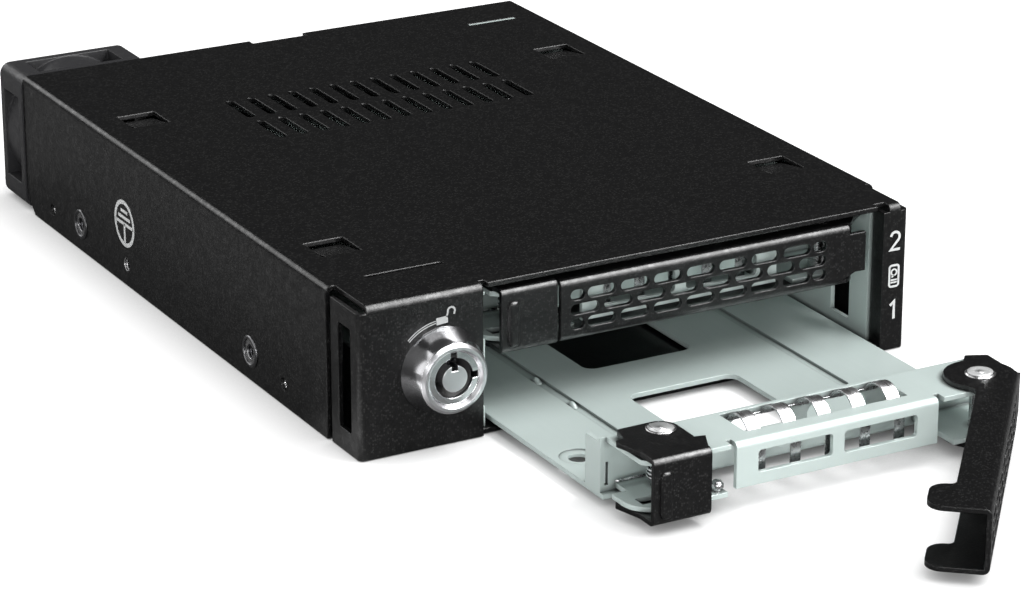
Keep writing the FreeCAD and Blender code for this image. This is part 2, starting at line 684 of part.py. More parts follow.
half_width = d.body_width / 2
front = -d.body_depth / 2
rear = d.body_depth / 2
roof = d.body_height - d.cover_sheet
side_front = front + d.side_start
column_side = half_width - d.flange_inset
brow_side = column_side - d.cover_bend - d.flange_inset
flange_top = d.body_height - d.flange_drop
lock_edge = d.lock_column - half_width
number_edge = half_width - d.number_column
lintel = front + d.lintel_set
shell_inside = half_width - d.cover_sheet
nested_side = shell_inside - d.panel_gap
floor_inside = nested_side - d.floor_sheet
mount_depths = [front + d.mount_front, front + d.mount_front + d.mount_spacing]
screw_depths = [front + d.screw_front, front + d.screw_back]
tray_levels = {"lower": d.tray_pitch * 0, "upper": d.tray_pitch}
guide_top = roof - d.guide_head
left_inner = d.tray_centre - d.tray_width / 2 - d.left_gap
right_inner = d.tray_centre + d.tray_width / 2 + d.right_gap
shelf_top = d.tray_pitch + d.tray_floor - d.shelf_gap
bracket_front = front + d.bracket_set
bracket_back = bracket_front + d.guide_sheet
board_back = bracket_back + d.board_sheet
tab_left = d.bracket_tab_across - d.bracket_tab / 2
tab_right = d.bracket_tab_across + d.bracket_tab / 2
port_places = [(d.port_across, d.port_level), (d.port_across, d.port_level + d.port_step)]
fan_end = rear + d.fan_depth
fan_places = [(sx * d.fan_pitch / 2, sz * d.fan_pitch / 2) for sx in (-1, 1) for sz in (-1, 1)]


def make_top_cover():
    part = new_part("top_cover")
    add(part, "XZ", side_front, rear, polygon([
        (-half_width, 0), (-half_width, d.body_height), (half_width, d.body_height), (half_width, 0),
        (shell_inside, 0), (shell_inside, roof), (-shell_inside, roof), (-shell_inside, 0)]))
    round_edges(part, "Y", [(-half_width, d.body_height), (half_width, d.body_height)], d.cover_bend)
    round_edges(part, "Y", [(-shell_inside, roof), (shell_inside, roof)], d.cover_bend - d.cover_sheet)
    cut(part, "YZ", -half_width, half_width, polygon([(rear - d.heel, 0), (rear, d.heel), (rear, 0)]))
    add(part, "XY", roof, d.body_height, polygon([
        (-brow_side, side_front), (-brow_side, front), (lock_edge, front), (lock_edge, lintel),
        (number_edge, lintel), (number_edge, front), (brow_side, front), (brow_side, side_front)]))
    face_back = front + d.cover_sheet
    add(part, "XZ", front, face_back, polygon([
        (-column_side, 0), (-column_side, flange_top), (-brow_side, flange_top),
        (-brow_side, d.body_height), (lock_edge, d.body_height), (lock_edge, 0)]))
    add(part, "XY", 0, flange_top, rectangle(
        -column_side, d.cover_sheet - column_side, front, front + d.flange_depth))
    number_bend = number_edge + d.cover_bend
    add(part, "XZ", front, face_back, polygon([
        (number_edge, 0), (number_edge, flange_top), (number_bend, flange_top),
        (number_bend, d.body_height), (brow_side, d.body_height), (brow_side, flange_top),
        (column_side, flange_top), (column_side, 0)]))
    add(part, "XY", 0, flange_top, rectangle(
        column_side - d.cover_sheet, column_side, front, front + d.flange_depth))
    add(part, "XY", d.floor_sheet + d.panel_gap, flange_top, rectangle(
        number_edge, number_edge + d.cover_sheet, front, front + d.column_return))
    relief_back = front + d.relief_depth
    cut(part, "XY", roof, d.body_height,
        rectangle(lock_edge, lock_edge + d.relief_width, front, relief_back),
        rectangle(number_edge - d.relief_width, number_bend, front, relief_back))
    round_edges(part, "X", [(front, d.body_height)], d.cover_bend)
    round_edges(part, "Z", [(-column_side, front), (column_side, front)], d.column_bend)
    slot_front = front + d.flange_slot_start
    slot_back = slot_front + d.flange_slot_width
    for flange in (-column_side, column_side - d.cover_sheet):
        cut(part, "YZ", flange, flange + d.cover_sheet, rectangle(
            slot_front, slot_back, d.flange_slot_low, d.flange_slot_high))
    round_edges(part, "X", [(y, z) for y in (slot_front, slot_back)
                            for z in (d.flange_slot_low, d.flange_slot_high)], d.flange_slot_corner)
    cut(part, "XZ", front, face_back, circle(d.lock_across, d.lock_height, d.lock_barrel + d.panel_gap))
    for row in (d.vent_front, d.vent_front + d.vent_step):
        vent = cut(part, "XY", roof, d.body_height, obround(
            -d.vent_pitch * (d.vent_count - 1) / 2, front + row, d.vent_length, d.vent_width, upright=True))
        repeat(part, [vent], "X", d.vent_pitch, d.vent_count)
    for side in (-1, 1):
        for depth in (d.lance_front, d.lance_front + d.lance_step):
            x0 = side * d.lance_span / 2 - d.lance_size / 2
            y0 = front + depth - d.lance_size / 2
            y1 = y0 + d.lance_size
            cut(part, "XY", roof, d.body_height, rectangle(x0, x0 + d.lance_size, y0, y1))
            tongue = y1 - d.lance_side
            add(part, "YZ", x0 + d.lance_side, x0 + d.lance_size - d.lance_side, polygon([
                (y0, roof), (y0, d.body_height), (tongue, d.body_height - d.lance_drop),
                (tongue, roof - d.lance_drop)]))
    cut(part, "XY", roof, d.body_height,
        obround(d.key_slot_centre, front + d.key_slot_set, d.key_slot_length, d.key_slot_width),
        rectangle(tab_left - d.panel_gap, tab_right + d.panel_gap,
                  bracket_front - d.panel_gap, bracket_back + d.panel_gap),
        rectangle(-d.rear_notch_width / 2, d.rear_notch_width / 2, rear - d.rear_notch_depth, rear))
    hole = d.insert_radius + d.panel_gap
    screw = d.screw_radius + d.panel_gap
    cut(part, "YZ", -half_width, half_width,
        *[circle(depth, d.mount_height, hole) for depth in mount_depths],
        *[circle(depth, d.screw_height, screw) for depth in screw_depths])
    cut(part, "YZ", -half_width, -shell_inside, circle(front + d.ground_set, d.ground_height, d.ground_radius))


def make_bottom_plate():
    part = new_part("bottom_plate")
    wall_front = side_front + d.panel_gap
    add(part, "XZ", wall_front, rear - d.heel, polygon([
        (-nested_side, 0), (-nested_side, d.floor_flange), (-floor_inside, d.floor_flange),
        (-floor_inside, d.floor_sheet), (floor_inside, d.floor_sheet), (floor_inside, d.floor_flange),
        (nested_side, d.floor_flange), (nested_side, 0)]))
    round_edges(part, "Y", [(-nested_side, 0), (nested_side, 0)], d.cover_bend)
    tongue_side = column_side - d.cover_sheet - d.panel_gap
    add(part, "XY", 0, d.floor_sheet, rectangle(
        -tongue_side, tongue_side, front + d.cover_sheet + d.panel_gap, wall_front))
    add(part, "XY", 0, d.floor_sheet, rectangle(-floor_inside, floor_inside, rear - d.heel, rear))
    runner_front = front + d.runner_start
    for side in (-1, 1):
        x = d.tray_centre + side * d.runner_spread / 2
        crown = d.floor_sheet + d.runner_height
        add(part, "XZ", runner_front, runner_front + d.runner_length, polygon([
            (x - d.runner_width / 2, d.floor_sheet), (x - d.runner_width / 4, crown),
            (x + d.runner_width / 4, crown), (x + d.runner_width / 2, d.floor_sheet)]))
    hole = d.insert_radius + d.panel_gap
    screw = d.screw_radius + d.panel_gap
    cut(part, "YZ", -half_width, half_width,
        *[circle(depth, d.mount_height, hole) for depth in mount_depths],
        *[circle(depth, d.screw_height, screw) for depth in screw_depths])
    cut(part, "YZ", -half_width, -floor_inside, circle(front + d.ground_set, d.ground_height, d.ground_radius))


def add_shelves(part, x0, x1):
    shelf = add(part, "XY", shelf_top - d.guide_sheet, shelf_top, rectangle(
        x0, x1, front + d.shelf_front, front + d.shelf_front + d.shelf_length))
    repeat(part, [shelf], "Y", d.shelf_step, d.shelf_count)


def make_left_guide():
    part = new_part("left_guide")
    outer = left_inner - d.guide_sheet
    y0 = front + d.left_start
    y1 = front + d.guide_notch
    y2 = front + d.guide_end
    edge = [(y0, d.floor_sheet)]
    for level in tray_levels.values():
        low, high = level + d.notch_low, level + d.notch_high
        edge += [(y0, low), (y1, low), (y1, high), (y0, high)]
    edge += [(y0, guide_top), (y2, guide_top), (y2, d.floor_sheet)]
    add(part, "YZ", outer, left_inner, polygon(edge))
    add(part, "XY", d.floor_sheet, d.floor_sheet + d.guide_sheet, rectangle(
        outer - d.guide_foot, outer, front + d.shelf_front, y2))
    add_shelves(part, left_inner, left_inner + d.left_gap + d.shelf_lap)
    cam_front = front + d.cover_sheet + d.lock_barrel_length
    cut(part, "YZ", outer, left_inner, rectangle(
        cam_front - d.cam_gap, cam_front - d.cam_gap + d.cam_window,
        d.lock_height - d.cam_window_fall, d.lock_height + d.cam_window_rise))


def make_right_guide():
    part = new_part("right_guide")
    outer = right_inner + d.guide_sheet
    y0 = front + d.right_start
    y2 = front + d.guide_end
    add(part, "YZ", right_inner, outer, rectangle(y0, y2, d.floor_sheet, guide_top))
    add(part, "XY", d.floor_sheet, d.floor_sheet + d.guide_sheet, rectangle(
        outer, outer + d.guide_foot, front + d.shelf_front, y2))
    add_shelves(part, right_inner - d.right_gap - d.shelf_lap, right_inner)
    window_height = d.notch_high - d.notch_low
    tooth_front = front + d.tooth_window_start
    for level in tray_levels.values():
        cut(part, "YZ", right_inner, outer, rectangle(
            tooth_front, tooth_front + d.tooth_window,
            level + d.tooth_window_low, level + d.tooth_window_high))
        window = cut(part, "YZ", right_inner, outer, obround(
            front + d.guide_window_start + d.guide_window / 2, level + d.notch_low + window_height / 2,
            d.guide_window, window_height / 2))
        repeat(part, [window], "Y", d.guide_window_step, d.shelf_count)


def make_rear_panel():
    part = new_part("rear_panel")
    low = d.floor_sheet + d.panel_gap
    high = roof - d.panel_gap
    panel_front = rear - d.cover_sheet
    add(part, "XZ", panel_front, rear, rectangle(-floor_inside, floor_inside, low, high))
    flange_low = d.floor_flange + d.panel_gap
    for x in (-nested_side, nested_side - d.cover_sheet):
        add(part, "XZ", panel_front - d.bracket_foot, rear, rectangle(
            x, x + d.cover_sheet, flange_low, roof - d.cover_bend))
    gap = d.port_play
    boxes = [rectangle(x - d.port_width / 2 - gap, x + d.port_width / 2 + gap,
                       z - d.port_height / 2 - gap, z + d.port_height / 2 + gap) for x, z in port_places]
    cut(part, "XZ", panel_front, rear, *boxes, rectangle(
        d.inlet_across - d.inlet_width / 2 - gap, d.inlet_across + d.inlet_width / 2 + gap,
        d.inlet_level - d.inlet_height / 2 - gap, d.inlet_level + d.inlet_height / 2 + gap))
    cut(part, "XZ", panel_front, rear, circle(d.fan_across, d.fan_height, d.fan_bore))
    cut(part, "XZ", panel_front, rear, *[
        circle(d.fan_across + x, d.fan_height + z, d.fan_screw + d.panel_gap) for x, z in fan_places])
    for level in (d.inlet_level - d.rear_vent_rise, d.inlet_level + d.rear_vent_rise):
        vent = cut(part, "XZ", panel_front, rear, obround(
            d.inlet_across - d.vent_pitch * (d.rear_vent_count - 1) / 2, level, d.inlet_height, d.vent_width,
            upright=True))
        repeat(part, [vent], "X", d.vent_pitch, d.rear_vent_count)


def make_backplane():
    bracket = new_part("backplane_bracket")
    left = left_inner + d.left_gap
    right = right_inner - d.right_gap
    add(bracket, "XZ", bracket_front, bracket_back, polygon([
        (left, d.floor_sheet), (left, guide_top), (tab_left, guide_top), (tab_left, d.body_height - d.panel_gap),
        (tab_right, d.body_height - d.panel_gap), (tab_right, guide_top), (right, guide_top),
        (right, d.floor_sheet)]))
    add(bracket, "XY", d.floor_sheet, d.floor_sheet + d.guide_sheet, rectangle(
        left, right, bracket_front - d.bracket_foot, bracket_back))
    gap = d.port_play
    cut(bracket, "XZ", bracket_front, bracket_back, *[
        rectangle(d.plug_across - d.plug_width / 2 - gap, d.plug_across + d.plug_width / 2 + gap,
                  level + d.plug_level - d.plug_height / 2 - gap, level + d.plug_level + d.plug_height / 2 + gap)
        for level in tray_levels.values()])
    board = new_part("backplane_board")
    add(board, "XZ", bracket_back, board_back, rectangle(
        left + d.board_margin, right - d.board_margin, d.board_low, d.board_high))
    for name, level in tray_levels.items():
        make_receptacle(name + "_drive_receptacle", level)
    for name, (x, z) in zip(("lower_data_port", "upper_data_port"), port_places):
        make_port(name, x, z, d.port_width, d.port_height)
    make_port("power_inlet", d.inlet_across, d.inlet_level, d.inlet_width, d.inlet_height)


def make_receptacle(label, level):
    part = new_part(label)
    mouth = bracket_back - d.plug_depth
    add(part, "XZ", mouth, bracket_back, rectangle(
        -d.plug_width / 2, d.plug_width / 2, -d.plug_height / 2, d.plug_height / 2))
    key = d.plug_key_across
    half_slot, half_rise = d.plug_slot / 2, d.plug_slot_height / 2
    cut(part, "XZ", mouth, mouth + d.plug_slot_depth,
        rectangle(-half_slot, key - d.plug_key / 2, -half_rise, half_rise),
        rectangle(key + d.plug_key / 2, half_slot, -half_rise, half_rise))
    place(part, d.plug_across, 0, level + d.plug_level)


def make_port(label, x, z, width, height):
    part = new_part(label)
    end = rear + d.port_proud
    add(part, "XZ", board_back, end, rectangle(-width / 2, width / 2, -height / 2, height / 2))
    inner_x, inner_z = width / 2 - d.port_wall, height / 2 - d.port_wall
    tongue_x, tongue_z = inner_x - d.port_wall, d.port_tongue / 2
    cut(part, "XZ", end - d.plug_slot_depth, end,
        rectangle(-inner_x, inner_x, -inner_z, inner_z),
        polygon([(-tongue_x, -tongue_z), (tongue_x, -tongue_z), (tongue_x, tongue_z + d.port_tongue / 2),
                 (tongue_x - d.port_tongue, tongue_z + d.port_tongue / 2),
                 (tongue_x - d.port_tongue, tongue_z), (-tongue_x, tongue_z)]))
    place(part, x, 0, z)


def make_fan():
    frame = new_part("fan_frame")
    half = d.fan_size / 2
    post = half - d.fan_post
    add(frame, "XZ", rear, rear + d.fan_plate, rectangle(-half, half, -half, half))
    add(frame, "XZ", rear, fan_end, circle(0, 0, d.fan_bore + d.fan_wall))
    add(frame, "XZ", rear, fan_end, *[
        rectangle(x0, x1, z0, z1) for x0, x1 in ((-half, -post), (post, half))
        for z0, z1 in ((-half, -post), (post, half))])
    add(frame, "XZ", fan_end - d.fan_plate, fan_end, rectangle(-half, half, -half, half))
    round_edges(frame, "Y", [(sx * half, sz * half) for sx in (-1, 1) for sz in (-1, 1)], d.fan_corner)
    cut(frame, "XZ", rear, fan_end, circle(0, 0, d.fan_bore))
    cut(frame, "XZ", rear, fan_end, *[circle(x, z, d.fan_screw + d.panel_gap) for x, z in fan_places])
    back = fan_end - d.fan_back
    strut = add(frame, "XZ", back, fan_end, rectangle(
        -d.fan_strut / 2, d.fan_strut / 2, 0, d.fan_bore + d.fan_wall / 2))
    spread(frame, [strut], "Y", d.fan_strut_count)
    add(frame, "XZ", back, fan_end, circle(0, 0, d.fan_hub))
    add(frame, "XZ", back - d.fan_pin_length, fan_end, circle(0, 0, d.fan_pin))
    place(frame, d.fan_across, 0, d.fan_height)

    impeller = new_part("fan_impeller")
    hub_front = rear + d.fan_end_gap
    hub_back = back - d.fan_end_gap
    add(impeller, "XZ", hub_front, hub_back, circle(0, 0, d.fan_hub))
    round_edges_of_rim(impeller, hub_front, d.fan_hub)
    cut(impeller, "XZ", back - d.fan_pin_length - d.fan_end_gap, hub_back, circle(0, 0, d.fan_pin + d.fan_run))
    root = d.fan_hub - d.blade_sheet
    tip = d.fan_bore - d.fan_tip
    blade_front, blade_back = hub_front + d.blade_sheet / 2, hub_back - d.blade_sheet / 2
    sections = []
    for level, lean in ((root, d.blade_lean_root), (tip, d.blade_lean_tip)):
        sections.append(drawn(impeller, "YZ", level, [polygon([
            (blade_front, -lean / 2), (blade_front, d.blade_sheet - lean / 2),
            (blade_back, lean / 2), (blade_back, lean / 2 - d.blade_sheet)])]))
    loft = impeller.newObject("PartDesign::AdditiveLoft", "blade")
    loft.Profile = sections[0]
    loft.Sections = sections[1:]
    settled(impeller, loft)
    spread(impeller, [loft], "Y", d.blade_count)
    place(impeller, d.fan_across, 0, d.fan_height)

    screws = []
    for x, z in fan_places:
        shank = cylinder(d.fan_screw, d.fan_depth + d.cover_sheet)
        head = cylinder(d.fan_head, d.fan_head_rise)
        bind(head, "Placement.Base.z", -d.fan_head_rise)
        screw = doc.addObject("Part::Fuse", "fan_screw")
        screw.Base = shank
        screw.Tool = head
        place(screw, d.fan_across + x, fan_end, d.fan_height + z, ("X", 90))
        screws.append(screw)
    gathered("fan_screws", screws)


def round_edges_of_rim(part, level, radius):
    """Rounds the circular edge of a given radius at a level along Y."""
    doc.recompute()
    names = []
    for number, edge in enumerate(part.Shape.Edges, 1):
        round_edge = isinstance(edge.Curve, Part.Circle) and abs(edge.Curve.Radius - value_of(radius)) < TOUCH
        if round_edge and abs(edge.Curve.Center.y - value_of(level)) < TOUCH:
            names.append("Edge%d" % number)
    filleted(part, names, d.blade_sheet)


def make_lock():
    housing = new_part("lock_housing")
    face = front - d.lock_stand
    barrel_end = front + d.cover_sheet + d.lock_barrel_length
    well = face + d.lock_well
    bore = d.lock_mouth
    turned(housing, "XY", [
        (bore, face + d.lock_dish), (bore + d.lock_lip, face + d.lock_dish),
        (d.lock_ring - d.lock_rim * 2, face), (d.lock_ring - d.lock_rim, face),
        (d.lock_ring, face + d.lock_rim), (d.lock_flare, front), (d.lock_barrel, front),
        (d.lock_barrel, barrel_end), (bore, barrel_end)])
    notch = d.lock_notch / 2
    cut(housing, "XZ", face, well, rectangle(-notch, notch, 0, bore + d.lock_notch_deep),
        polygon([(notch, -notch), (bore + d.lock_notch_deep, -notch), (bore + d.lock_notch_deep, notch),
                 (notch, notch)]))
    place(housing, d.lock_across, 0, d.lock_height)

    nut = new_part("lock_nut")
    nut_front = front + d.cover_sheet
    flat = d.nut_flats / 2
    corner = flat * 2 / 3 ** 0.5
    add(nut, "XZ", nut_front, nut_front + d.nut_depth, polygon([
        (flat, corner / 2), (0, corner), (-flat, corner / 2), (-flat, -corner / 2), (0, -corner),
        (flat, -corner / 2)]))
    cut(nut, "XZ", nut_front, nut_front + d.nut_depth, circle(0, 0, d.lock_barrel + d.panel_gap))
    place(nut, d.lock_across, 0, d.lock_height)

    plug = new_part("lock_plug")
    plug_radius = bore - d.lock_run
    cam_front = barrel_end + d.cam_gap
    cam_back = cam_front + d.cam_sheet
    turned(plug, "XY", [
        (0, face + d.lock_dish / 2), (d.lock_post, face + d.lock_dish / 2), (d.lock_post, well),
        (plug_radius, well), (plug_radius, cam_front), (d.plug_stub, cam_front),
        (d.plug_stub, cam_back), (0, cam_back)])
    cut(plug, "XZ", face, well, rectangle(-notch, notch, d.lock_post - d.lock_notch_deep, bore))
    place(plug, d.lock_across, 0, d.lock_height)

    cam = new_part("lock_cam")
    arm = d.cam_width / 2
    add(cam, "XZ", cam_front, cam_back, circle(0, 0, d.cam_eye))
    add(cam, "XZ", cam_front, cam_back, rectangle(-arm, arm, -d.cam_reach, 0))
    cut(cam, "XZ", cam_front, cam_back, circle(0, 0, d.plug_stub + d.panel_gap))
    round_edges(cam, "Y", [(-arm, -d.cam_reach), (arm, -d.cam_reach)], arm / 2)
    place(cam, d.lock_across, 0, d.lock_height)

    screw = new_part("lock_cam_screw")
    head_back = cam_back + d.cam_screw_rise
    turned(screw, "XY", [
        (0, cam_back), (d.cam_screw_head, cam_back), (d.cam_screw_head, head_back - d.lock_rim),
        (d.cam_screw_head - d.lock_rim, head_back), (0, head_back)])
    place(screw, d.lock_across, 0, d.lock_height)


def make_side_fasteners():
    inserts = []
    screws = []
    for side in (-1, 1):
        for depth in mount_depths:
            ring = doc.addObject("Part::Cut", "insert")
            ring.Base = cylinder(d.insert_radius, half_width - floor_inside)
            ring.Tool = cylinder(d.mount_hole, half_width - floor_inside)
            place(ring, side * half_width, depth, d.mount_height, ("Y", -90 * side))
            inserts.append(ring)
        for depth in screw_depths:
            pin = cylinder(d.screw_radius, d.screw_length)
            place(pin, side * half_width, depth, d.screw_height, ("Y", -90 * side))
            screws.append(pin)
    gathered("side_inserts", inserts)
    gathered("case_screws", screws)


def make_tray(name, level, pull):
    part = new_part(name + "_tray")
    side = d.tray_width / 2
    floor_top = d.tray_floor + d.tray_sheet
    wall_back = d.box_back + d.tray_sheet
    plate_low = d.box_top - d.tray_sheet
    add(part, "XY", d.tray_floor, floor_top, rectangle(-side, side, d.box_back, d.tray_end))
    add(part, "XZ", d.box_back, wall_back, rectangle(-side, d.box_side, d.tray_floor, d.box_top))
    add(part, "XY", plate_low, d.box_top, polygon([
        (-d.box_side, wall_back), (-d.box_side, d.box_front + d.box_corner / 2),
        (d.box_corner / 2 - d.box_side, d.box_front), (d.box_side - d.box_corner, d.box_front),
        (d.box_side, d.box_front + d.box_corner), (d.box_side, wall_back)]))
    face = d.box_face / 2
    add(part, "XZ", d.box_front, d.box_front + d.tray_sheet, rectangle(-face, face, d.box_face_low, d.box_top))
    relief_back = d.box_front + d.tray_bend + d.tray_sheet
    cut(part, "XY", plate_low, d.box_top,
        rectangle(-face - d.box_relief, -face, d.box_front, relief_back),
        rectangle(face, face + d.box_relief, d.box_front, relief_back))
    round_edges(part, "X", [(d.box_front, d.box_top)], d.tray_bend, middle=0)
    round_edges(part, "X", [(wall_back, d.box_top)], d.tray_bend)
    round_edges(part, "X", [(d.box_back, d.tray_floor)], d.tray_bend)
    rib = d.window_rib / 2
    window_far = rib + d.window_width
    cut(part, "XZ", d.box_front, d.box_front + d.tray_sheet,
        rectangle(-window_far, -rib, d.window_low, d.window_high),
        rectangle(rib, window_far, d.window_low, d.window_high))
    round_edges(part, "Y", [(x, z) for x in (-window_far, -rib, rib, window_far)
                            for z in (d.window_low, d.window_high)], d.window_corner)
    mouth = d.strip_mouth / 2
    cut(part, "XY", plate_low, d.box_top, rectangle(-mouth, mouth, d.strip_front, d.strip_back))
    slot = cut(part, "XZ", d.box_back, wall_back, obround(
        -d.rear_slot_step * (d.rear_slot_count - 1) / 2, (d.window_low + d.window_high) / 2,
        d.rear_slot, d.rear_slot_height))
    repeat(part, [slot], "X", d.rear_slot_step, d.rear_slot_count)
    ear_right = d.ear_left - d.box_side
    ear_waist = d.ear_waist_inset - d.box_side
    add(part, "XY", d.ear_low, d.ear_low + d.tray_sheet,
        polygon([(-side, d.ear_front), (ear_right, d.ear_front), (ear_right, d.box_back),
                 (ear_waist, d.box_back), (ear_waist, d.ear_waist), (-side, d.ear_waist)]),
        polygon([(d.box_side - d.ear_right, d.ear_front), (d.box_side - d.box_corner, d.ear_front),
                 (d.box_side, d.ear_front + d.box_corner), (d.box_side, d.box_back),
                 (d.box_side - d.ear_right, d.box_back)]))
    round_edges(part, "Z", [(-side, d.ear_front)], d.ear_bow)
    cut(part, "XY", d.ear_low, d.ear_low + d.tray_sheet, rectangle(
        -d.ear_slot_left, -d.ear_slot_right, d.ear_slot_front, d.ear_slot_back))
    add(part, "YZ", -side, d.tray_sheet - side, rectangle(
        d.box_back, wall_back + d.side_post, d.tray_floor, d.side_post_top))
    slit = d.tray_sheet - side
    cut(part, "XZ", d.box_back, wall_back, rectangle(
        slit, slit + d.post_slit, floor_top + d.tray_bend, d.post_slit_top))
    add(part, "XY", d.tray_floor, floor_top, rectangle(
        -side, d.foot_width - side, d.box_back - d.foot_reach, wall_back))
    cut(part, "XY", d.ear_low, d.box_top,
        circle(d.pivot_across, d.pivot_depth, d.pivot_radius + d.pivot_fit),
        circle(d.latch_across, d.latch_depth, d.pivot_radius + d.pivot_fit))
    groove_end = d.groove_start + d.groove_length
    grooves = [obround(s * d.groove_spread / 2, (d.groove_start + groove_end) / 2,
                       d.groove_length, d.groove_width, upright=True) for s in (-1, 1)]
    cut(part, "XY", floor_top - d.groove_depth, floor_top, *grooves)
    add(part, "XY", d.tray_floor - d.groove_swell, d.tray_floor, *grooves)
    holes = [(s * d.drive_spread / 2, depth) for s in (-1, 1)
             for depth in (d.drive_front, d.drive_front + d.drive_step)]
    cut(part, "XY", floor_top - d.drive_ring_deep, floor_top, *[circle(x, y, d.drive_ring) for x, y in holes])
    cut(part, "XY", d.tray_floor, floor_top, *[circle(x, y, d.drive_hole) for x, y in holes])
    cut_left, cut_right = d.cut_centre - d.cut_width / 2, d.cut_centre + d.cut_width / 2
    openings = [(d.cut_front, d.cut_front + d.cut_front_length), (d.cut_back, d.cut_back + d.cut_back_length)]
    cut(part, "XY", d.tray_floor, floor_top, *[rectangle(cut_left, cut_right, y0, y1) for y0, y1 in openings])
    round_edges(part, "Z", [(x, y) for x in (cut_left, cut_right) for pair in openings for y in pair],
                d.cut_corner)
    round_edges(part, "Z", [(-side, d.tray_end), (side, d.tray_end)], d.cut_corner)
    place(part, d.tray_centre, front - pull, level)


def make_spring_strip(name, level, pull):
    part = new_part(name + "_emi_strip")
    high = d.box_top - d.tray_sheet
    low = high - d.strip_sheet
    reach = d.strip_mouth / 2 + d.strip_lap
    rail_back = d.box_back - d.panel_gap
    add(part, "XY", low, high, rectangle(-reach, reach, d.strip_front - d.strip_lap, rail_back))
    finger_front, finger_back = d.strip_front + d.finger_side, d.strip_back - d.finger_side
    cut(part, "XY", low, high, rectangle(
        -d.strip_mouth / 2, d.strip_mouth / 2, finger_front + d.finger_sheet / 2,
        finger_back - d.finger_sheet / 2))
    x = -d.finger_pitch * (d.finger_count - 1) / 2
    finger = add(part, "YZ", x - d.finger_width / 2, x + d.finger_width / 2, arch(
        finger_front, finger_back, low, d.box_top + d.finger_rise - low, d.finger_sheet))
    leg_front = d.strip_front - d.strip_lap
    leg = add(part, "XY", d.finger_leg_low, low, rectangle(
        x - d.finger_leg / 2, x + d.finger_leg / 2, leg_front, leg_front + d.finger_sheet))
    repeat(part, [finger, leg], "X", d.finger_pitch, d.finger_count)
    place(part, d.tray_centre, front - pull, level)


def make_lever(name, level, pull, angle):
    part = new_part(name + "_lever")
    face = -d.pivot_depth
    ear_inner = d.ear_width - d.lever_reach
    outline = polygon([
        (-d.lever_reach, face), (0, face), (0, d.lever_edge), (ear_inner, d.lever_edge),
        (ear_inner, d.ear_reach), (-d.lever_reach, d.ear_reach)])
    flanges = [(d.lever_low, d.lever_low + d.lever_sheet), (d.lever_top - d.lever_sheet, d.lever_top)]
    add(part, "XZ", face, face + d.lever_sheet, polygon([
        (-d.lever_reach, d.lever_low), (-d.lever_reach, d.lever_top), (d.bend_end, d.lever_top),
        (d.bend_end, d.tail_top), (d.tail_end, d.tail_top), (d.tail_end, d.tail_low),
        (d.tail_step, d.tail_low), (-d.tail_slope, d.lever_low)]))
    for low, high in flanges:
        add(part, "XY", low, high, outline)
        add(part, "XY", low, high, circle(0, 0, d.lever_round))
    tooth_end = d.lever_tooth - d.tooth_slope
    add(part, "XY", d.lever_top - d.lever_sheet, d.lever_top, polygon([
        (0, face), (d.bend_end, face), (d.bend_end, face + d.lever_bend), (d.lever_tooth, -d.tooth_front),
        (tooth_end, d.tooth_back), (0, d.tooth_back)]))
    cut(part, "XY", d.lever_low, d.lever_top, circle(0, 0, d.pivot_radius + d.pivot_run))
    round_edges(part, "Z", [(-d.lever_reach, d.ear_reach), (ear_inner, d.ear_reach)], d.ear_corner)
    round_edges(part, "Z", [(ear_inner, d.lever_edge)], d.ear_root)
    round_edges(part, "Z", [(-d.lever_round, d.lever_edge)], d.lever_neck)
    round_edges(part, "Z", [(d.lever_tooth, -d.tooth_front), (tooth_end, d.tooth_back)], d.tooth_corner)
    root = (value_of(d.lever_round) ** 2 - value_of(d.tooth_back) ** 2) ** 0.5
    round_edges(part, "Z", [(root, d.tooth_back)], d.tooth_root)
    round_edges(part, "X", [(face, d.lever_top), (face, d.lever_low)], d.lever_bend)
    middle_count = d.hole_outer_count + 1
    rows = [(d.hole_level + d.hole_row, d.hole_outer_count), (d.hole_level, middle_count),
            (d.hole_level - d.hole_row, d.hole_outer_count)]
    for height, count in rows:
        hole = cut(part, "XZ", face, face + d.lever_sheet, obround(
            -d.hole_centre - d.hole_pitch * (count - 1) / 2, height, d.hole_length, d.hole_width))
        repeat(part, [hole], "X", d.hole_pitch, count)
    cut(part, "XZ", face, face + d.lever_sheet, *[
        obround(s * d.hole_small_set - d.hole_centre, d.hole_level + r * d.hole_row, d.hole_small, d.hole_width)
        for s in (-1, 1) for r in (-1, 1)])
    place(part, d.tray_centre + d.pivot_across, front - pull + d.pivot_depth, level, ("Z", angle))


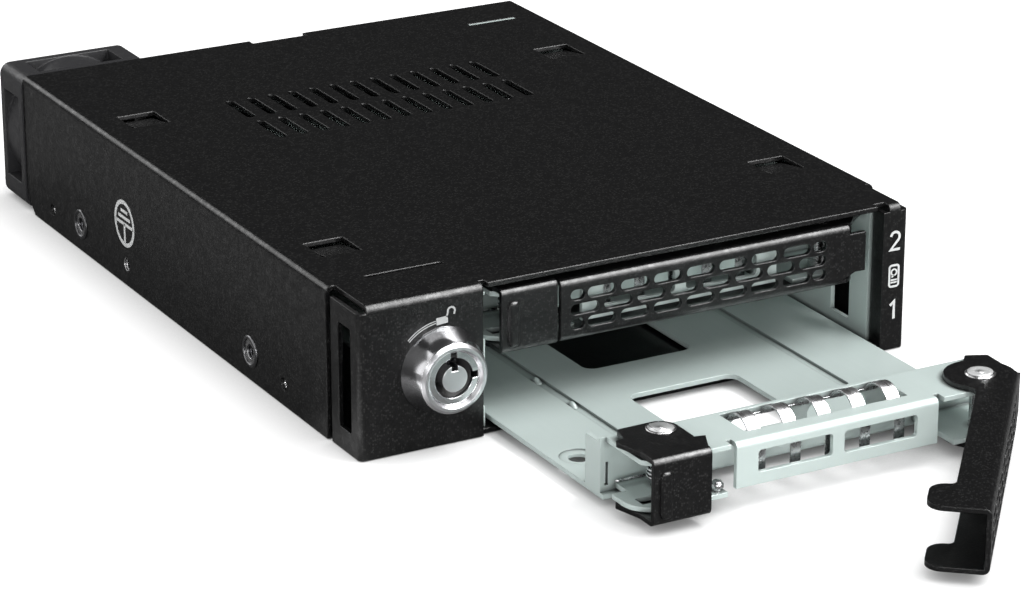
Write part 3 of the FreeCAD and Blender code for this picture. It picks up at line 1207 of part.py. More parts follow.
def make_latch(name, level, pull):
    part = new_part(name + "_latch")
    face = -d.latch_depth
    plate_low = d.latch_top - d.latch_sheet
    add(part, "XZ", face, face + d.latch_sheet, rectangle(
        -d.latch_left, d.latch_right, d.latch_low, d.latch_top))
    add(part, "XY", plate_low, d.latch_top, polygon([
        (-d.latch_left, face), (-d.latch_left, -d.latch_shoulder), (-d.latch_tip, -d.latch_tip_set),
        (-d.latch_notch, -d.latch_notch_set), (-d.latch_heel, d.latch_heel_set), (0, d.latch_eye),
        (d.latch_eye, 0), (d.latch_right, -d.latch_shoulder), (d.latch_right, face)]))
    add(part, "XY", plate_low, d.latch_top, circle(0, 0, d.latch_eye))
    foot_top = d.latch_low + d.latch_sheet
    add(part, "XY", d.latch_low, foot_top, polygon([
        (-d.latch_left, face), (-d.latch_left, -d.latch_shoulder), (-d.latch_tip, -d.latch_tip_set),
        (-d.latch_notch, -d.latch_notch_set), (-d.latch_eye, 0), (d.latch_eye, 0),
        (d.latch_right, -d.latch_shoulder), (d.latch_right, face)]))
    add(part, "XY", d.latch_low, foot_top, circle(0, 0, d.latch_eye))
    round_edges(part, "Z", [
        (-d.latch_left, -d.latch_shoulder), (-d.latch_tip, -d.latch_tip_set),
        (-d.latch_heel, d.latch_heel_set)], d.latch_corner)
    round_edges(part, "X", [(face, d.latch_top), (face, d.latch_low)], d.latch_bend)
    add(part, "XY", d.latch_top - d.nose_sheet, d.latch_top, polygon([
        (d.latch_right, -d.nose_front), (d.nose_reach, -d.nose_tip), (d.latch_right, -d.nose_back)]))
    add(part, "XZ", face - d.bar_proud, face, obround(
        -d.bar_set, d.bar_level, d.bar_length, d.bar_width, upright=True))
    cut(part, "XY", d.latch_low, d.latch_top, circle(0, 0, d.pivot_radius + d.pivot_run))
    place(part, d.tray_centre + d.latch_across, front - pull + d.latch_depth, level)


def make_pins(name, level, pull):
    lever_pin = new_part(name + "_lever_pivot")
    foot = d.lever_low - d.pivot_run
    head = d.lever_top + d.pivot_run
    turned(lever_pin, "XZ", [
        (0, foot - d.pin_foot), (d.pin_head, foot - d.pin_foot), (d.pin_head, foot), (d.pivot_radius, foot),
        (d.pivot_radius, head), (d.pin_head, head), (d.pin_head - d.pin_head_rise, head + d.pin_head_rise),
        (0, head + d.pin_head_rise)])
    place(lever_pin, d.tray_centre + d.pivot_across, front - pull + d.pivot_depth, level)

    latch_pin = new_part(name + "_latch_pivot")
    foot = d.latch_low - d.pivot_run
    collar_top = d.latch_top - d.latch_sheet - d.pivot_run
    head_top = d.latch_top + d.latch_head_rise
    head = d.latch_top + d.pivot_run
    turned(latch_pin, "XZ", [
        (0, foot - d.pin_foot), (d.pin_head, foot - d.pin_foot), (d.pin_head, foot), (d.pivot_radius, foot),
        (d.pivot_radius, d.box_top), (d.collar_radius, d.box_top), (d.collar_radius, collar_top),
        (d.pivot_radius, collar_top), (d.pivot_radius, head), (d.latch_head, head),
        (d.latch_head - d.latch_head_rise, head_top), (0, head_top)])
    place(latch_pin, d.tray_centre + d.latch_across, front - pull + d.latch_depth, level)

    spring = new_part(name + "_latch_spring")
    inner = d.pivot_radius + d.spring_gap
    outer = inner + d.spring_wire
    profile = [(inner, d.spring_low)]
    turn_count = int(d.spring_turns.value)
    for turn in range(turn_count):
        low = d.spring_low + d.spring_wire * turn
        profile += [(outer - d.spring_wire / 4, low), (outer, low + d.spring_wire / 4),
                    (outer, low + d.spring_wire * 3 / 4)]
    spring_top = d.spring_low + d.spring_wire * turn_count
    profile += [(outer - d.spring_wire / 4, spring_top), (inner, spring_top)]
    turned(spring, "XZ", profile)
    leg = [inner + d.spring_wire / 8, outer - d.spring_wire / 8]
    add(spring, "XY", spring_top - d.spring_wire, spring_top, rectangle(*leg, -d.spring_front_leg, 0))
    add(spring, "XY", d.spring_low, d.spring_low + d.spring_wire, rectangle(-d.spring_side_leg, 0, *leg))
    place(spring, d.tray_centre + d.latch_across, front - pull + d.latch_depth, level)

    stud = new_part(name + "_spring_post")
    seat = d.ear_low + d.tray_sheet
    crown = seat + d.stud_rise
    turned(stud, "XZ", [
        (0, seat), (d.stud_neck, seat), (d.stud_neck, crown - d.stud_radius), (d.stud_radius, crown - d.stud_radius),
        (d.stud_radius, crown - d.stud_radius / 2), (d.stud_neck, crown), (0, crown)])
    place(stud, d.tray_centre + d.stud_across, front - pull + d.stud_depth, level)


make_top_cover()
make_bottom_plate()
make_left_guide()
make_right_guide()
make_rear_panel()
make_backplane()
make_fan()
make_lock()
make_side_fasteners()
for tray, pull, angle in (("lower", d.tray_pull, d.lever_open), ("upper", as_size(0), as_size(0))):
    make_tray(tray, tray_levels[tray], pull)
    make_spring_strip(tray, tray_levels[tray], pull)
    make_lever(tray, tray_levels[tray], pull, angle)
    make_latch(tray, tray_levels[tray], pull)
    make_pins(tray, tray_levels[tray], pull)
doc.recompute()

for thing in doc.Objects:
    if "Invalid" in thing.State or "Error" in thing.State:
        raise ValueError("could not build " + thing.Label)
for node in nodes:
    if node.Shape.isNull() or not node.Shape.isValid():
        raise ValueError("unsound shape of " + node.Label)

os.makedirs("parts", exist_ok=True)
for node in nodes:
    node.Shape.exportStep("parts/%s.step" % node.Label)
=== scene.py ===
import json
import math

import bpy
import numpy as np
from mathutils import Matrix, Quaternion, Vector


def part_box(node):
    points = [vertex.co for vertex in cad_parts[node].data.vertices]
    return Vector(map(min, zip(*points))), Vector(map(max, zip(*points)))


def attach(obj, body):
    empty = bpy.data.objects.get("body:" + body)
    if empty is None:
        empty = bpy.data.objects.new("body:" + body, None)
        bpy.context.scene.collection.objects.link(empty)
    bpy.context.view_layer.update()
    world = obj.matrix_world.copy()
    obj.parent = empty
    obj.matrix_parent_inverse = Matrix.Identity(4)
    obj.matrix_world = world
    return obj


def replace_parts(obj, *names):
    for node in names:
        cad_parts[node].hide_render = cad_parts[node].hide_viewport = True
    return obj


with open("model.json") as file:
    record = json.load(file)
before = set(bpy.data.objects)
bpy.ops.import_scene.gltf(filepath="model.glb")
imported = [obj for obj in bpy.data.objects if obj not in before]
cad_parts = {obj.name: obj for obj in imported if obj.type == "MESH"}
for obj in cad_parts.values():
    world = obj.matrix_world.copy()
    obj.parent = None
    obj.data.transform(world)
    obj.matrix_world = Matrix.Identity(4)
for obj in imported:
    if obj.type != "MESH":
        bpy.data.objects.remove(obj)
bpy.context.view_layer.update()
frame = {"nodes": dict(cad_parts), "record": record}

MM = 0.001
TURN = 2 * math.pi
INK_LIFT = 0.02 * MM
INK_DEPTH = 0.03 * MM

# Places and lengths in millimetres, in the frame of the CAD nodes.
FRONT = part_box("top_cover")[0].y / MM
HALF_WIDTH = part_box("top_cover")[1].x / MM
PULL = 46.3
TRAY_STEP = 11.3
TRAY_MIDDLE, GROOVE_REACH = 8.4, 21.1
GROOVE_BUMP_DEPTHS = (46.6, 58.3)
LATCH_AXIS_X, LATCH_AXIS_DEPTH = -18.4, 10.2
LEVER_AXIS_X, LEVER_AXIS_DEPTH = 36.7, 5.9
NUMBER_MIDDLE = 48.1
INSERT_DEPTHS, INSERT_LEVEL = (-28.2, 41.8), 5.0
EARTH_HOLE_DEPTH, EARTH_HOLE_LEVEL = 21.8, 3.9
CASE_SCREW_DEPTHS, CASE_SCREW_LEVEL, CASE_SCREW_SINK = (-40.6, 54.8), 3.7, 0.45
FAN_SCREW_REACH = 10
LOCK_RING_FRONT, LOCK_RING_BACK = -71.4, -70.6
PIN_FOOT, WELL_FLOOR = -65.78, -65.76
PIN_COUNT, PIN_CIRCLE = 7, 2.72


def centre_of(node):
    """Middle of a CAD node's box in millimetres."""
    low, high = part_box(node)
    return np.array((low + high) / 2) / MM


LOCK = centre_of("lock_housing")


def add_node(tree, kind, inputs=None, **settings):
    """One shader node with its settings and the values of its input sockets."""
    node = tree.nodes.new(kind)
    for name, value in settings.items():
        setattr(node, name, value)
    for name, value in (inputs or {}).items():
        if isinstance(value, bpy.types.NodeSocket):
            tree.links.new(value, node.inputs[name])
        else:
            node.inputs[name].default_value = value
    return node


def new_group(name, inputs, outputs):
    """An empty node group with float inputs, given as name and value, and float outputs."""
    tree = bpy.data.node_groups.new(name, "ShaderNodeTree")
    for label, value in inputs:
        tree.interface.new_socket(label, in_out="INPUT", socket_type="NodeSocketFloat").default_value = value
    for label in outputs:
        tree.interface.new_socket(label, in_out="OUTPUT", socket_type="NodeSocketFloat")
    return tree, tree.nodes.new("NodeGroupInput"), tree.nodes.new("NodeGroupOutput")


def powder_grain():
    """Powder coat: a fine noise height, flecks in the middle of some random cells, and glossy mottles."""
    tree, given, result = new_group("powder_grain", [("Grain", 2600.0), ("Fleck", 900.0)],
                                    ["Height", "Flecks", "Cloud", "Gloss"])
    place = add_node(tree, "ShaderNodeTexCoord").outputs["Object"]
    noise = add_node(tree, "ShaderNodeTexNoise", {"Vector": place, "Scale": given.outputs["Grain"], "Detail": 2.0})
    cells = add_node(tree, "ShaderNodeTexVoronoi", {"Vector": place, "Scale": given.outputs["Fleck"]})
    near = add_node(tree, "ShaderNodeMapRange", {
        "Value": cells.outputs["Distance"], "From Min": 0.1, "From Max": 0.6, "To Min": 1.0, "To Max": 0.0})
    pick = add_node(tree, "ShaderNodeSeparateColor", {"Color": cells.outputs["Color"]})
    chosen = add_node(tree, "ShaderNodeMath", {0: pick.outputs["Red"], 1: 0.66}, operation="GREATER_THAN")
    flecks = add_node(tree, "ShaderNodeMath", {0: near.outputs[0], 1: chosen.outputs[0]}, operation="MULTIPLY")
    cloud = add_node(tree, "ShaderNodeTexNoise", {"Vector": place, "Scale": 45.0, "Detail": 3.0})
    mottle = add_node(tree, "ShaderNodeTexNoise", {"Vector": place, "Scale": 700.0, "Detail": 5.0, "Roughness": 0.7})
    gloss = add_node(tree, "ShaderNodeMapRange", {
        "Value": mottle.outputs[0], "From Min": 0.48, "From Max": 0.68, "To Min": 0.0, "To Max": 0.5})
    tree.links.new(gloss.outputs[0], result.inputs["Gloss"])
    tree.links.new(noise.outputs[0], result.inputs["Height"])
    tree.links.new(flecks.outputs[0], result.inputs["Flecks"])
    tree.links.new(cloud.outputs[0], result.inputs["Cloud"])
    return tree


def rolled_sheen():
    """Rolled sheet: noise stretched along one direction, and a slow cloud."""
    tree, given, result = new_group("rolled_sheen", [("Grain", 900.0), ("Cloud Size", 60.0)], ["Streaks", "Cloud"])
    place = add_node(tree, "ShaderNodeTexCoord").outputs["Object"]
    drawn = add_node(tree, "ShaderNodeMapping", {"Vector": place, "Scale": (1.0, 0.05, 1.0)})
    streaks = add_node(tree, "ShaderNodeTexNoise", {
        "Vector": drawn.outputs[0], "Scale": given.outputs["Grain"], "Detail": 2.0})
    cloud = add_node(tree, "ShaderNodeTexNoise", {
        "Vector": place, "Scale": given.outputs["Cloud Size"], "Detail": 4.0})
    tree.links.new(streaks.outputs[0], result.inputs["Streaks"])
    tree.links.new(cloud.outputs[0], result.inputs["Cloud"])
    return tree


POWDER = powder_grain()
ROLLED = rolled_sheen()


def new_material(name, colour, roughness, metallic=0.0, specular=0.5):
    """A Principled material with plain values; the caller links what changes over the surface."""
    material = bpy.data.materials.new(name)
    material.use_nodes = True
    tree = material.node_tree
    shader = tree.nodes["Principled BSDF"]
    shader.inputs["Base Color"].default_value = (*colour, 1.0)
    shader.inputs["Roughness"].default_value = roughness
    shader.inputs["Metallic"].default_value = metallic
    shader.inputs["Specular IOR Level"].default_value = specular
    material.diffuse_color = (*colour, 1.0)
    return material, tree, shader


def place_group(tree, group, **values):
    """A node group in a material, with the values of its inputs."""
    node = tree.nodes.new("ShaderNodeGroup")
    node.node_tree = group
    for name, value in values.items():
        node.inputs[name.replace("_", " ")].default_value = value
    return node


def spread_value(tree, source, low, high):
    """A value that runs from low to high as the source runs over the middle of its range."""
    return add_node(tree, "ShaderNodeMapRange", {
        "Value": source, "From Min": 0.25, "From Max": 0.75, "To Min": low, "To Max": high}).outputs[0]


def mixed_colour(tree, factor, first, second):
    """A colour that runs from the first to the second with the factor."""
    mix = add_node(tree, "ShaderNodeMix", {"Factor": factor}, data_type="RGBA")
    mix.inputs[6].default_value = (*first, 1.0)
    mix.inputs[7].default_value = (*second, 1.0)
    return mix.outputs[2]


def bumped(tree, shader, height, strength, distance, edge=0.18 * MM):
    """Fine relief over edges that look broken by a small radius."""
    soft = add_node(tree, "ShaderNodeBevel", {"Radius": edge}, samples=6)
    bump = add_node(tree, "ShaderNodeBump", {
        "Height": height, "Strength": strength, "Distance": distance, "Normal": soft.outputs[0]})
    tree.links.new(bump.outputs[0], shader.inputs["Normal"])


def coated(name, colour, fleck, roughness, strength, grain, size):
    """Black powder coat with grain, pale flecks and glossy mottles."""
    material, tree, shader = new_material(name, colour, roughness, specular=0.36)
    powder = place_group(tree, POWDER, Grain=grain, Fleck=size)
    shader.inputs["Coat Roughness"].default_value = 0.25
    tree.links.new(powder.outputs["Gloss"], shader.inputs["Coat Weight"])
    tree.links.new(mixed_colour(tree, powder.outputs["Flecks"], colour, fleck), shader.inputs["Base Color"])
    tree.links.new(spread_value(tree, powder.outputs["Cloud"], roughness - 0.015, roughness + 0.02),
                   shader.inputs["Roughness"])
    bumped(tree, shader, powder.outputs["Height"], strength, 0.06 * MM, edge=0.32 * MM)
    return material


def plated(name, pale, dull, roughness, metallic, strength, grain=900.0, specular=0.5, painted_shade_reach=0.0, painted_shade_fall=1.6):
    """Plated sheet with faint rolling streaks and slow clouds, and, where asked, painted shade: ambient occlusion
    darkens the colour in recesses narrower than a given size.
    """
    material, tree, shader = new_material(name, pale, roughness, metallic, specular)
    sheen = place_group(tree, ROLLED, Grain=grain)
    surface = mixed_colour(tree, sheen.outputs["Cloud"], pale, dull)
    if painted_shade_reach:
        # Painted shade: ambient occlusion darkens the colour towards near-black in recesses and between parts.
        painted_shade_ao = add_node(tree, "ShaderNodeAmbientOcclusion", {"Distance": painted_shade_reach}, samples=12)
        depth = add_node(tree, "ShaderNodeMath", {0: painted_shade_ao.outputs["AO"], 1: painted_shade_fall}, operation="POWER")
        shade = add_node(tree, "ShaderNodeMix", {"Factor": depth.outputs[0]}, data_type="RGBA")
        shade.inputs[6].default_value = (0.02, 0.02, 0.02, 1.0)
        tree.links.new(surface, shade.inputs[7])
        surface = shade.outputs[2]
    tree.links.new(surface, shader.inputs["Base Color"])
    tree.links.new(spread_value(tree, sheen.outputs["Streaks"], roughness - 0.06, roughness + 0.08),
                   shader.inputs["Roughness"])
    bumped(tree, shader, sheen.outputs["Streaks"], strength, 0.03 * MM)
    return material


def turned_chrome(name):
    """Chrome with fine turning rings about the lock's axis, satin on the front ring."""
    material, tree, shader = new_material(name, (0.80, 0.80, 0.82), 0.14, 1.0)
    place = add_node(tree, "ShaderNodeTexCoord").outputs["Object"]
    centred = add_node(tree, "ShaderNodeMapping", {"Vector": place, "Location": tuple(-LOCK * MM)})
    rings = add_node(tree, "ShaderNodeTexWave", {
        "Vector": centred.outputs[0], "Scale": 900.0, "Distortion": 0.6, "Detail": 2.0},
        wave_type="RINGS", rings_direction="Y")
    deep = add_node(tree, "ShaderNodeSeparateXYZ", {"Vector": place})
    satin = add_node(tree, "ShaderNodeMapRange", {
        "Value": deep.outputs["Y"], "From Min": LOCK_RING_FRONT * MM, "From Max": LOCK_RING_BACK * MM,
        "To Min": 0.3, "To Max": 0.12})
    tree.links.new(satin.outputs[0], shader.inputs["Roughness"])
    bumped(tree, shader, rings.outputs["Fac"], 0.02, 0.01 * MM)
    return material


def circuit_board(name):
    """Green solder mask over paler traces: thin bands of a stretched wave."""
    mask, trace = (0.01, 0.11, 0.04), (0.03, 0.22, 0.09)
    material, tree, shader = new_material(name, mask, 0.35)
    place = add_node(tree, "ShaderNodeTexCoord").outputs["Object"]
    wave = add_node(tree, "ShaderNodeTexWave", {"Vector": place, "Scale": 260.0, "Distortion": 3.0})
    band = add_node(tree, "ShaderNodeMapRange", {
        "Value": wave.outputs["Fac"], "From Min": 0.78, "From Max": 0.86, "To Min": 0.0, "To Max": 1.0})
    tree.links.new(mixed_colour(tree, band.outputs[0], mask, trace), shader.inputs["Base Color"])
    return material


def printed(name, colour):
    """Screen-printed ink with a slight unevenness."""
    material, tree, shader = new_material(name, colour, 0.6)
    powder = place_group(tree, POWDER, Grain=1800.0)
    tree.links.new(spread_value(tree, powder.outputs["Cloud"], 0.5, 0.7), shader.inputs["Roughness"])
    return material


COAT_BLACK = (0.0035, 0.0035, 0.0037)
FINISHES = {
    "black_sheet": coated("black_powder_coat", COAT_BLACK, (0.022, 0.022, 0.0215), 0.3, 0.35, 3200.0, 2700.0),
    "lever_black": coated("lever_coat", COAT_BLACK, (0.026, 0.026, 0.026), 0.29, 0.3, 3400.0, 3000.0),
    # Painted shade in the zinc's narrow recesses: colour darkened by ambient occlusion.
    "zinc_sheet": plated("zinc_plate", (0.555, 0.635, 0.615), (0.495, 0.575, 0.555), 0.36, 0.15, 0.12, specular=0.35,
                         painted_shade_reach=1.2 * MM, painted_shade_fall=1.8),
    "plain_steel": plated("nickel_plate", (0.72, 0.72, 0.72), (0.62, 0.62, 0.63), 0.24, 1.0, 0.08, 1600.0),
    # Painted shade between the spring fingers and coils: colour darkened by ambient occlusion.
    "spring_metal": plated("bright_spring_sheet", (0.80, 0.80, 0.81), (0.70, 0.70, 0.71), 0.27, 1.0, 0.05, 1600.0,
                           painted_shade_reach=3.0 * MM),
    "lock_chrome": turned_chrome("lock_chrome"),
    "fan_plastic": coated("fan_plastic", (0.025, 0.025, 0.027), (0.04, 0.04, 0.04), 0.45, 0.15, 1800.0, 2000.0),
    "black_plastic": coated("connector_plastic", (0.01, 0.01, 0.011), (0.02, 0.02, 0.02), 0.5, 0.1, 2200.0, 900.0),
    "black_screw": coated("blackened_steel", (0.01, 0.01, 0.011), (0.03, 0.03, 0.03), 0.35, 0.1, 2200.0, 900.0),
    "board_green": circuit_board("solder_mask"),
}
INK = printed("white_ink", (0.55, 0.56, 0.56))
GREY_INK = printed("grey_ink", (0.34, 0.35, 0.35))
RIVET = plated("rivet_zinc", (0.80, 0.81, 0.81), (0.62, 0.63, 0.63), 0.3, 0.45, 0.1, 1600.0)
WORN_BLACK = plated("worn_black", (0.30, 0.30, 0.31), (0.06, 0.06, 0.06), 0.3, 1.0, 0.1, 1600.0)
# Near-black for the key well's sleeve: painted shade inside the lock's chrome.
KEY_WELL_SHADE = plated("key_well_painted_shade", (0.012, 0.012, 0.012), (0.006, 0.006, 0.006), 0.5, 0.0, 0.1, 1600.0)
DARK_STEEL = plated("dark_steel", (0.20, 0.20, 0.21), (0.12, 0.12, 0.13), 0.3, 1.0, 0.08, 1600.0)

for entry in frame["record"]["subparts"]:
    node = frame["nodes"][entry["node"]]
    node.data.materials.clear()
    node.data.materials.append(FINISHES[entry["material_slot"]])


def outward(grid, wrap):
    """The grid with its columns turned round where its signed volume, the sum of its triangles', is negative."""
    after = np.roll(grid, -1, axis=0) if wrap else grid[1:]
    first = grid if wrap else grid[:-1]
    corners = [first, np.roll(first, -1, axis=1), np.roll(after, -1, axis=1), after]
    total = np.einsum("ijk,ijk->", corners[0], np.cross(corners[1], corners[2]))
    total += np.einsum("ijk,ijk->", corners[0], np.cross(corners[2], corners[3]))
    if not wrap:
        for ring, sense in ((grid[0], -1.0), (grid[-1], 1.0)):
            total += sense * np.einsum("jk,jk->", np.broadcast_to(ring[0], ring.shape),
                                       np.cross(ring, np.roll(ring, -1, axis=0)))
    return grid if total > 0 else grid[:, ::-1]


def grid_faces(rows, columns, wrap, start):
    """Quads between the rings of a grid; the rows close with wrap, or else a flat face closes either end."""
    row = np.arange(rows if wrap else rows - 1)[:, None]
    column = np.arange(columns)[None, :]
    after, beside = (row + 1) % rows, (column + 1) % columns
    quads = np.stack(np.broadcast_arrays(
        row * columns + column, row * columns + beside, after * columns + beside, after * columns + column), axis=-1)
    faces = (quads.reshape(-1, 4) + start).tolist()
    if not wrap:
        faces.append((np.arange(columns)[::-1] + start).tolist())
        faces.append((np.arange(columns) + (rows - 1) * columns + start).tolist())
    return faces


def make_piece(name, body, grids, material, wrap=False, smooth=True):
    """One object from ring-closed grids of points in millimetres, riding on a body."""
    points, faces, start = [], [], 0
    for grid in grids:
        grid = outward(np.asarray(grid, float), wrap)
        rows, columns = grid.shape[:2]
        points.append(grid.reshape(-1, 3) * MM)
        faces += grid_faces(rows, columns, wrap, start)
        start += rows * columns
    mesh = bpy.data.meshes.new(name)
    mesh.from_pydata(np.concatenate(points).tolist(), [], faces)
    mesh.polygons.foreach_set("use_smooth", np.full(len(faces), smooth))
    mesh.materials.append(material)
    piece = bpy.data.objects.new(name, mesh)
    bpy.context.scene.collection.objects.link(piece)
    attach(piece, body)
    return piece


def stroke(path, width, closed=False):
    """Ink line: a flat oblong section along a path, its corners at half the width times the mitred normal."""
    path = np.asarray(path, float)
    step = np.roll(path, -1, axis=0) - path
    if not closed:
        step[-1] = step[-2]
    step /= np.linalg.norm(step, axis=1)[:, None]
    before = np.roll(step, 1, axis=0)
    if not closed:
        before[0] = step[0]
    middle = step + before
    middle /= np.linalg.norm(middle, axis=1)[:, None]
    reach = width / 2 / np.clip(np.einsum("ij,ij->i", middle, step), 0.5, 1.0)
    normal = np.stack([-middle[:, 1], middle[:, 0]], axis=1) * reach[:, None]
    lift, top = INK_LIFT / MM, (INK_LIFT + INK_DEPTH) / MM
    section = [(1, lift), (-1, lift), (-1, top), (1, top)]
    edges = [np.column_stack([path + side * normal, np.full(len(path), out)]) for side, out in section]
    return np.stack(edges, axis=1)


def bow(across, up, radius, start, end, count=24):
    """Points on an arc from one angle to another, in degrees."""
    angle = np.radians(np.linspace(start, end, count))
    return np.column_stack([across + radius * np.cos(angle), up + radius * np.sin(angle)])


def on_front(grid):
    """Moves across, up and out to the front plane of the housing."""
    return np.stack([grid[..., 0], FRONT - grid[..., 2], grid[..., 1]], axis=-1)


def on_left(grid):
    """Moves across, up and out to the left side of the housing, where across runs to the front."""
    return np.stack([-HALF_WIDTH - grid[..., 2], -grid[..., 0], grid[..., 1]], axis=-1)


def make_bay_signs():
    """The bay numbers and the drive sign between them on the number column, in ink strokes."""
    middle = NUMBER_MIDDLE
    two = np.concatenate([bow(middle, 19.75, 0.85, 170, -42), [(middle - 0.86, 17.55), (middle + 1.0, 17.55)]])
    one = [(middle - 0.55, 7.75), (middle + 0.22, 8.4), (middle + 0.22, 5.35)]
    make_piece("bay_numbers", "chassis", [on_front(stroke(two, 0.46)), on_front(stroke(one, 0.5))],
               INK, smooth=False)
    case = np.concatenate([bow(middle + 0.48, 14.35, 0.42, 0, 90, 8), bow(middle - 0.48, 14.35, 0.42, 90, 180, 8),
                           bow(middle - 0.48, 11.5, 0.42, 180, 270, 8), bow(middle + 0.48, 11.5, 0.42, 270, 360, 8)])
    case = case[np.concatenate([[True], np.linalg.norm(np.diff(case, axis=0), axis=1) > 1e-6])]
    lines = [on_front(stroke([(middle - 0.62, z), (middle + 0.62, z)], 0.28)) for z in (11.78, 12.22)]
    arm = on_front(stroke([(middle - 0.45, 12.72), (middle + 0.08, 13.05)], 0.28))
    make_piece("drive_sign", "chassis", [on_front(stroke(case, 0.36, True)),
                                         on_front(stroke(bow(middle, 13.55, 0.53, 0, 345, 24), 0.28, True))],
               INK, wrap=True, smooth=False)
    make_piece("drive_sign_lines", "chassis", lines + [arm], INK, smooth=False)


def make_lock_sign():
    """Open padlock over the lock, and two thin arcs along the lock's upper left rim."""
    body = [(-37.1, 20.72), (-35.1, 20.86)]
    shackle = np.concatenate([[(-35.3, 21.2)], bow(-34.5, 22.1, 0.62, 190, -20, 16), [(-34.0, 21.5)]])
    arcs = [bow(LOCK[0], LOCK[2], radius, 97, 135, 24) for radius in (7.95, 8.3)]
    grids = [on_front(stroke(body, 1.15)), on_front(stroke(shackle, 0.3))]
    grids += [on_front(stroke(arc, 0.16)) for arc in arcs]
    make_piece("lock_sign", "chassis", grids, GREY_INK, smooth=False)


def make_earth_sign():
    """Earth sign on the left side: a ring, three bars that grow shorter and a stem."""
    y, z = -22.07, 11.3
    bars = [[(y - reach, level), (y + reach, level)] for reach, level in ((3.7, 11.2), (2.5, 12.35), (1.4, 13.5))]
    make_piece("earth_sign_ring", "chassis", [on_left(stroke(bow(y, z, 3.85, 0, 354, 60), 0.72, True))],
               INK, wrap=True, smooth=False)
    make_piece("earth_sign", "chassis", [on_left(stroke(bar, 0.58)) for bar in bars]
               + [on_left(stroke([(y, 11.2), (y, 7.7)], 0.66))], INK, smooth=False)


def turned_grid(profile, count=40):
    """Surface of revolution: each profile point, radius and height, goes round the axis."""
    radius, height = np.asarray(profile, float).T
    angle = np.linspace(0, TURN, count, endpoint=False)
    return np.stack([radius[:, None] * np.cos(angle), radius[:, None] * np.sin(angle),
                     np.broadcast_to(height[:, None], (len(radius), count))], axis=-1)


def lying(grid, side, y, z, start):
    """Stands a turned grid on a side wall: its axis points out of the wall."""
    out = side * (start + grid[..., 2])
    return np.stack([out, y + side * grid[..., 0], z + grid[..., 1]], axis=-1)


def make_insert_rims():
    """Threaded inserts and the earth hole's thread.

    An insert has a chamfered rim on the wall. Each thread is a ring wall whose inner radius waves along a helix.
    """
    rim = [(2.2, 0.02), (2.75, 0.02), (2.75, 0.08), (2.5, 0.3), (2.2, 0.3), (2.05, 0.02)]
    angle = np.linspace(0, TURN, 40, endpoint=False)
    along = np.linspace(-1.9, -0.05, 60)
    wave = 0.5 + 0.5 * np.cos(TURN * along[:, None] / 0.5 - angle)
    inner = np.stack([(1.22 - 0.14 * wave) * np.cos(angle), (1.22 - 0.14 * wave) * np.sin(angle),
                      np.broadcast_to(along[:, None], wave.shape)], axis=-1)
    outer = turned_grid(np.column_stack([np.full(2, 1.245), [-0.05, -1.9]]))
    thread = np.concatenate([inner, outer])
    rims, threads = [], []
    for side in (-1, 1):
        for y in INSERT_DEPTHS:
            rims.append(lying(turned_grid(rim), side, y, INSERT_LEVEL, HALF_WIDTH))
            threads.append(lying(thread, side, y, INSERT_LEVEL, HALF_WIDTH))
    earth = thread[30:] * np.array([1.04, 1.04, 0.9])
    make_piece("earth_thread", "chassis", [lying(earth, -1, EARTH_HOLE_DEPTH, EARTH_HOLE_LEVEL, HALF_WIDTH)],
               FINISHES["plain_steel"], wrap=True)
    make_piece("insert_rims", "chassis", rims, WORN_BLACK, wrap=True)
    make_piece("insert_threads", "chassis", threads, DARK_STEEL, wrap=True)


def cross_head(radius, rise, foot, depth, reach, half):
    """Screw head: a domed disc less a cross, whose depth fades over the arms' edges."""
    ring = np.linspace(0.04, 1.0, 26) * radius
    angle = np.linspace(0, TURN, 64, endpoint=False)
    x, y = ring[:, None] * np.cos(angle), ring[:, None] * np.sin(angle)
    arm = np.clip((half - np.abs(y)) / 0.1, 0, 1) * np.clip((reach - np.abs(x)) / 0.2, 0, 1)
    other = np.clip((half - np.abs(x)) / 0.1, 0, 1) * np.clip((reach - np.abs(y)) / 0.2, 0, 1)
    height = rise * (1 - (ring[:, None] / radius) ** 2) - depth * np.maximum(arm, other)
    top = np.stack([x, y, height], axis=-1)
    side = turned_grid([(radius, -foot), (radius * 0.04, -foot)], 64)
    return np.concatenate([top, side])


def make_screw_heads():
    """Cross-recessed heads: case screws sunk in the side walls, and the fan's four screws."""
    small = cross_head(0.97, 0.12, 1.5, 0.45, 0.7, 0.2)
    heads = [lying(small, side, y, CASE_SCREW_LEVEL, HALF_WIDTH - CASE_SCREW_SINK)
             for side in (-1, 1) for y in CASE_SCREW_DEPTHS]
    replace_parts(make_piece("case_screw_heads", "chassis", heads, FINISHES["plain_steel"]), "case_screws")
    large = cross_head(2.2, 0.35, 0.9, 0.7, 1.4, 0.32)
    low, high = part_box("fan_screws")
    x, z = (low.x + high.x) / 2 / MM, (low.z + high.z) / 2 / MM
    reach = (-FAN_SCREW_REACH, FAN_SCREW_REACH)
    heads = [np.stack([x + across - large[..., 0], high.y / MM - 0.4 + large[..., 2], z + up + large[..., 1]], axis=-1)
             for across in reach for up in reach]
    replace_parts(make_piece("fan_screw_heads", "chassis", heads, FINISHES["black_screw"]), "fan_screws")


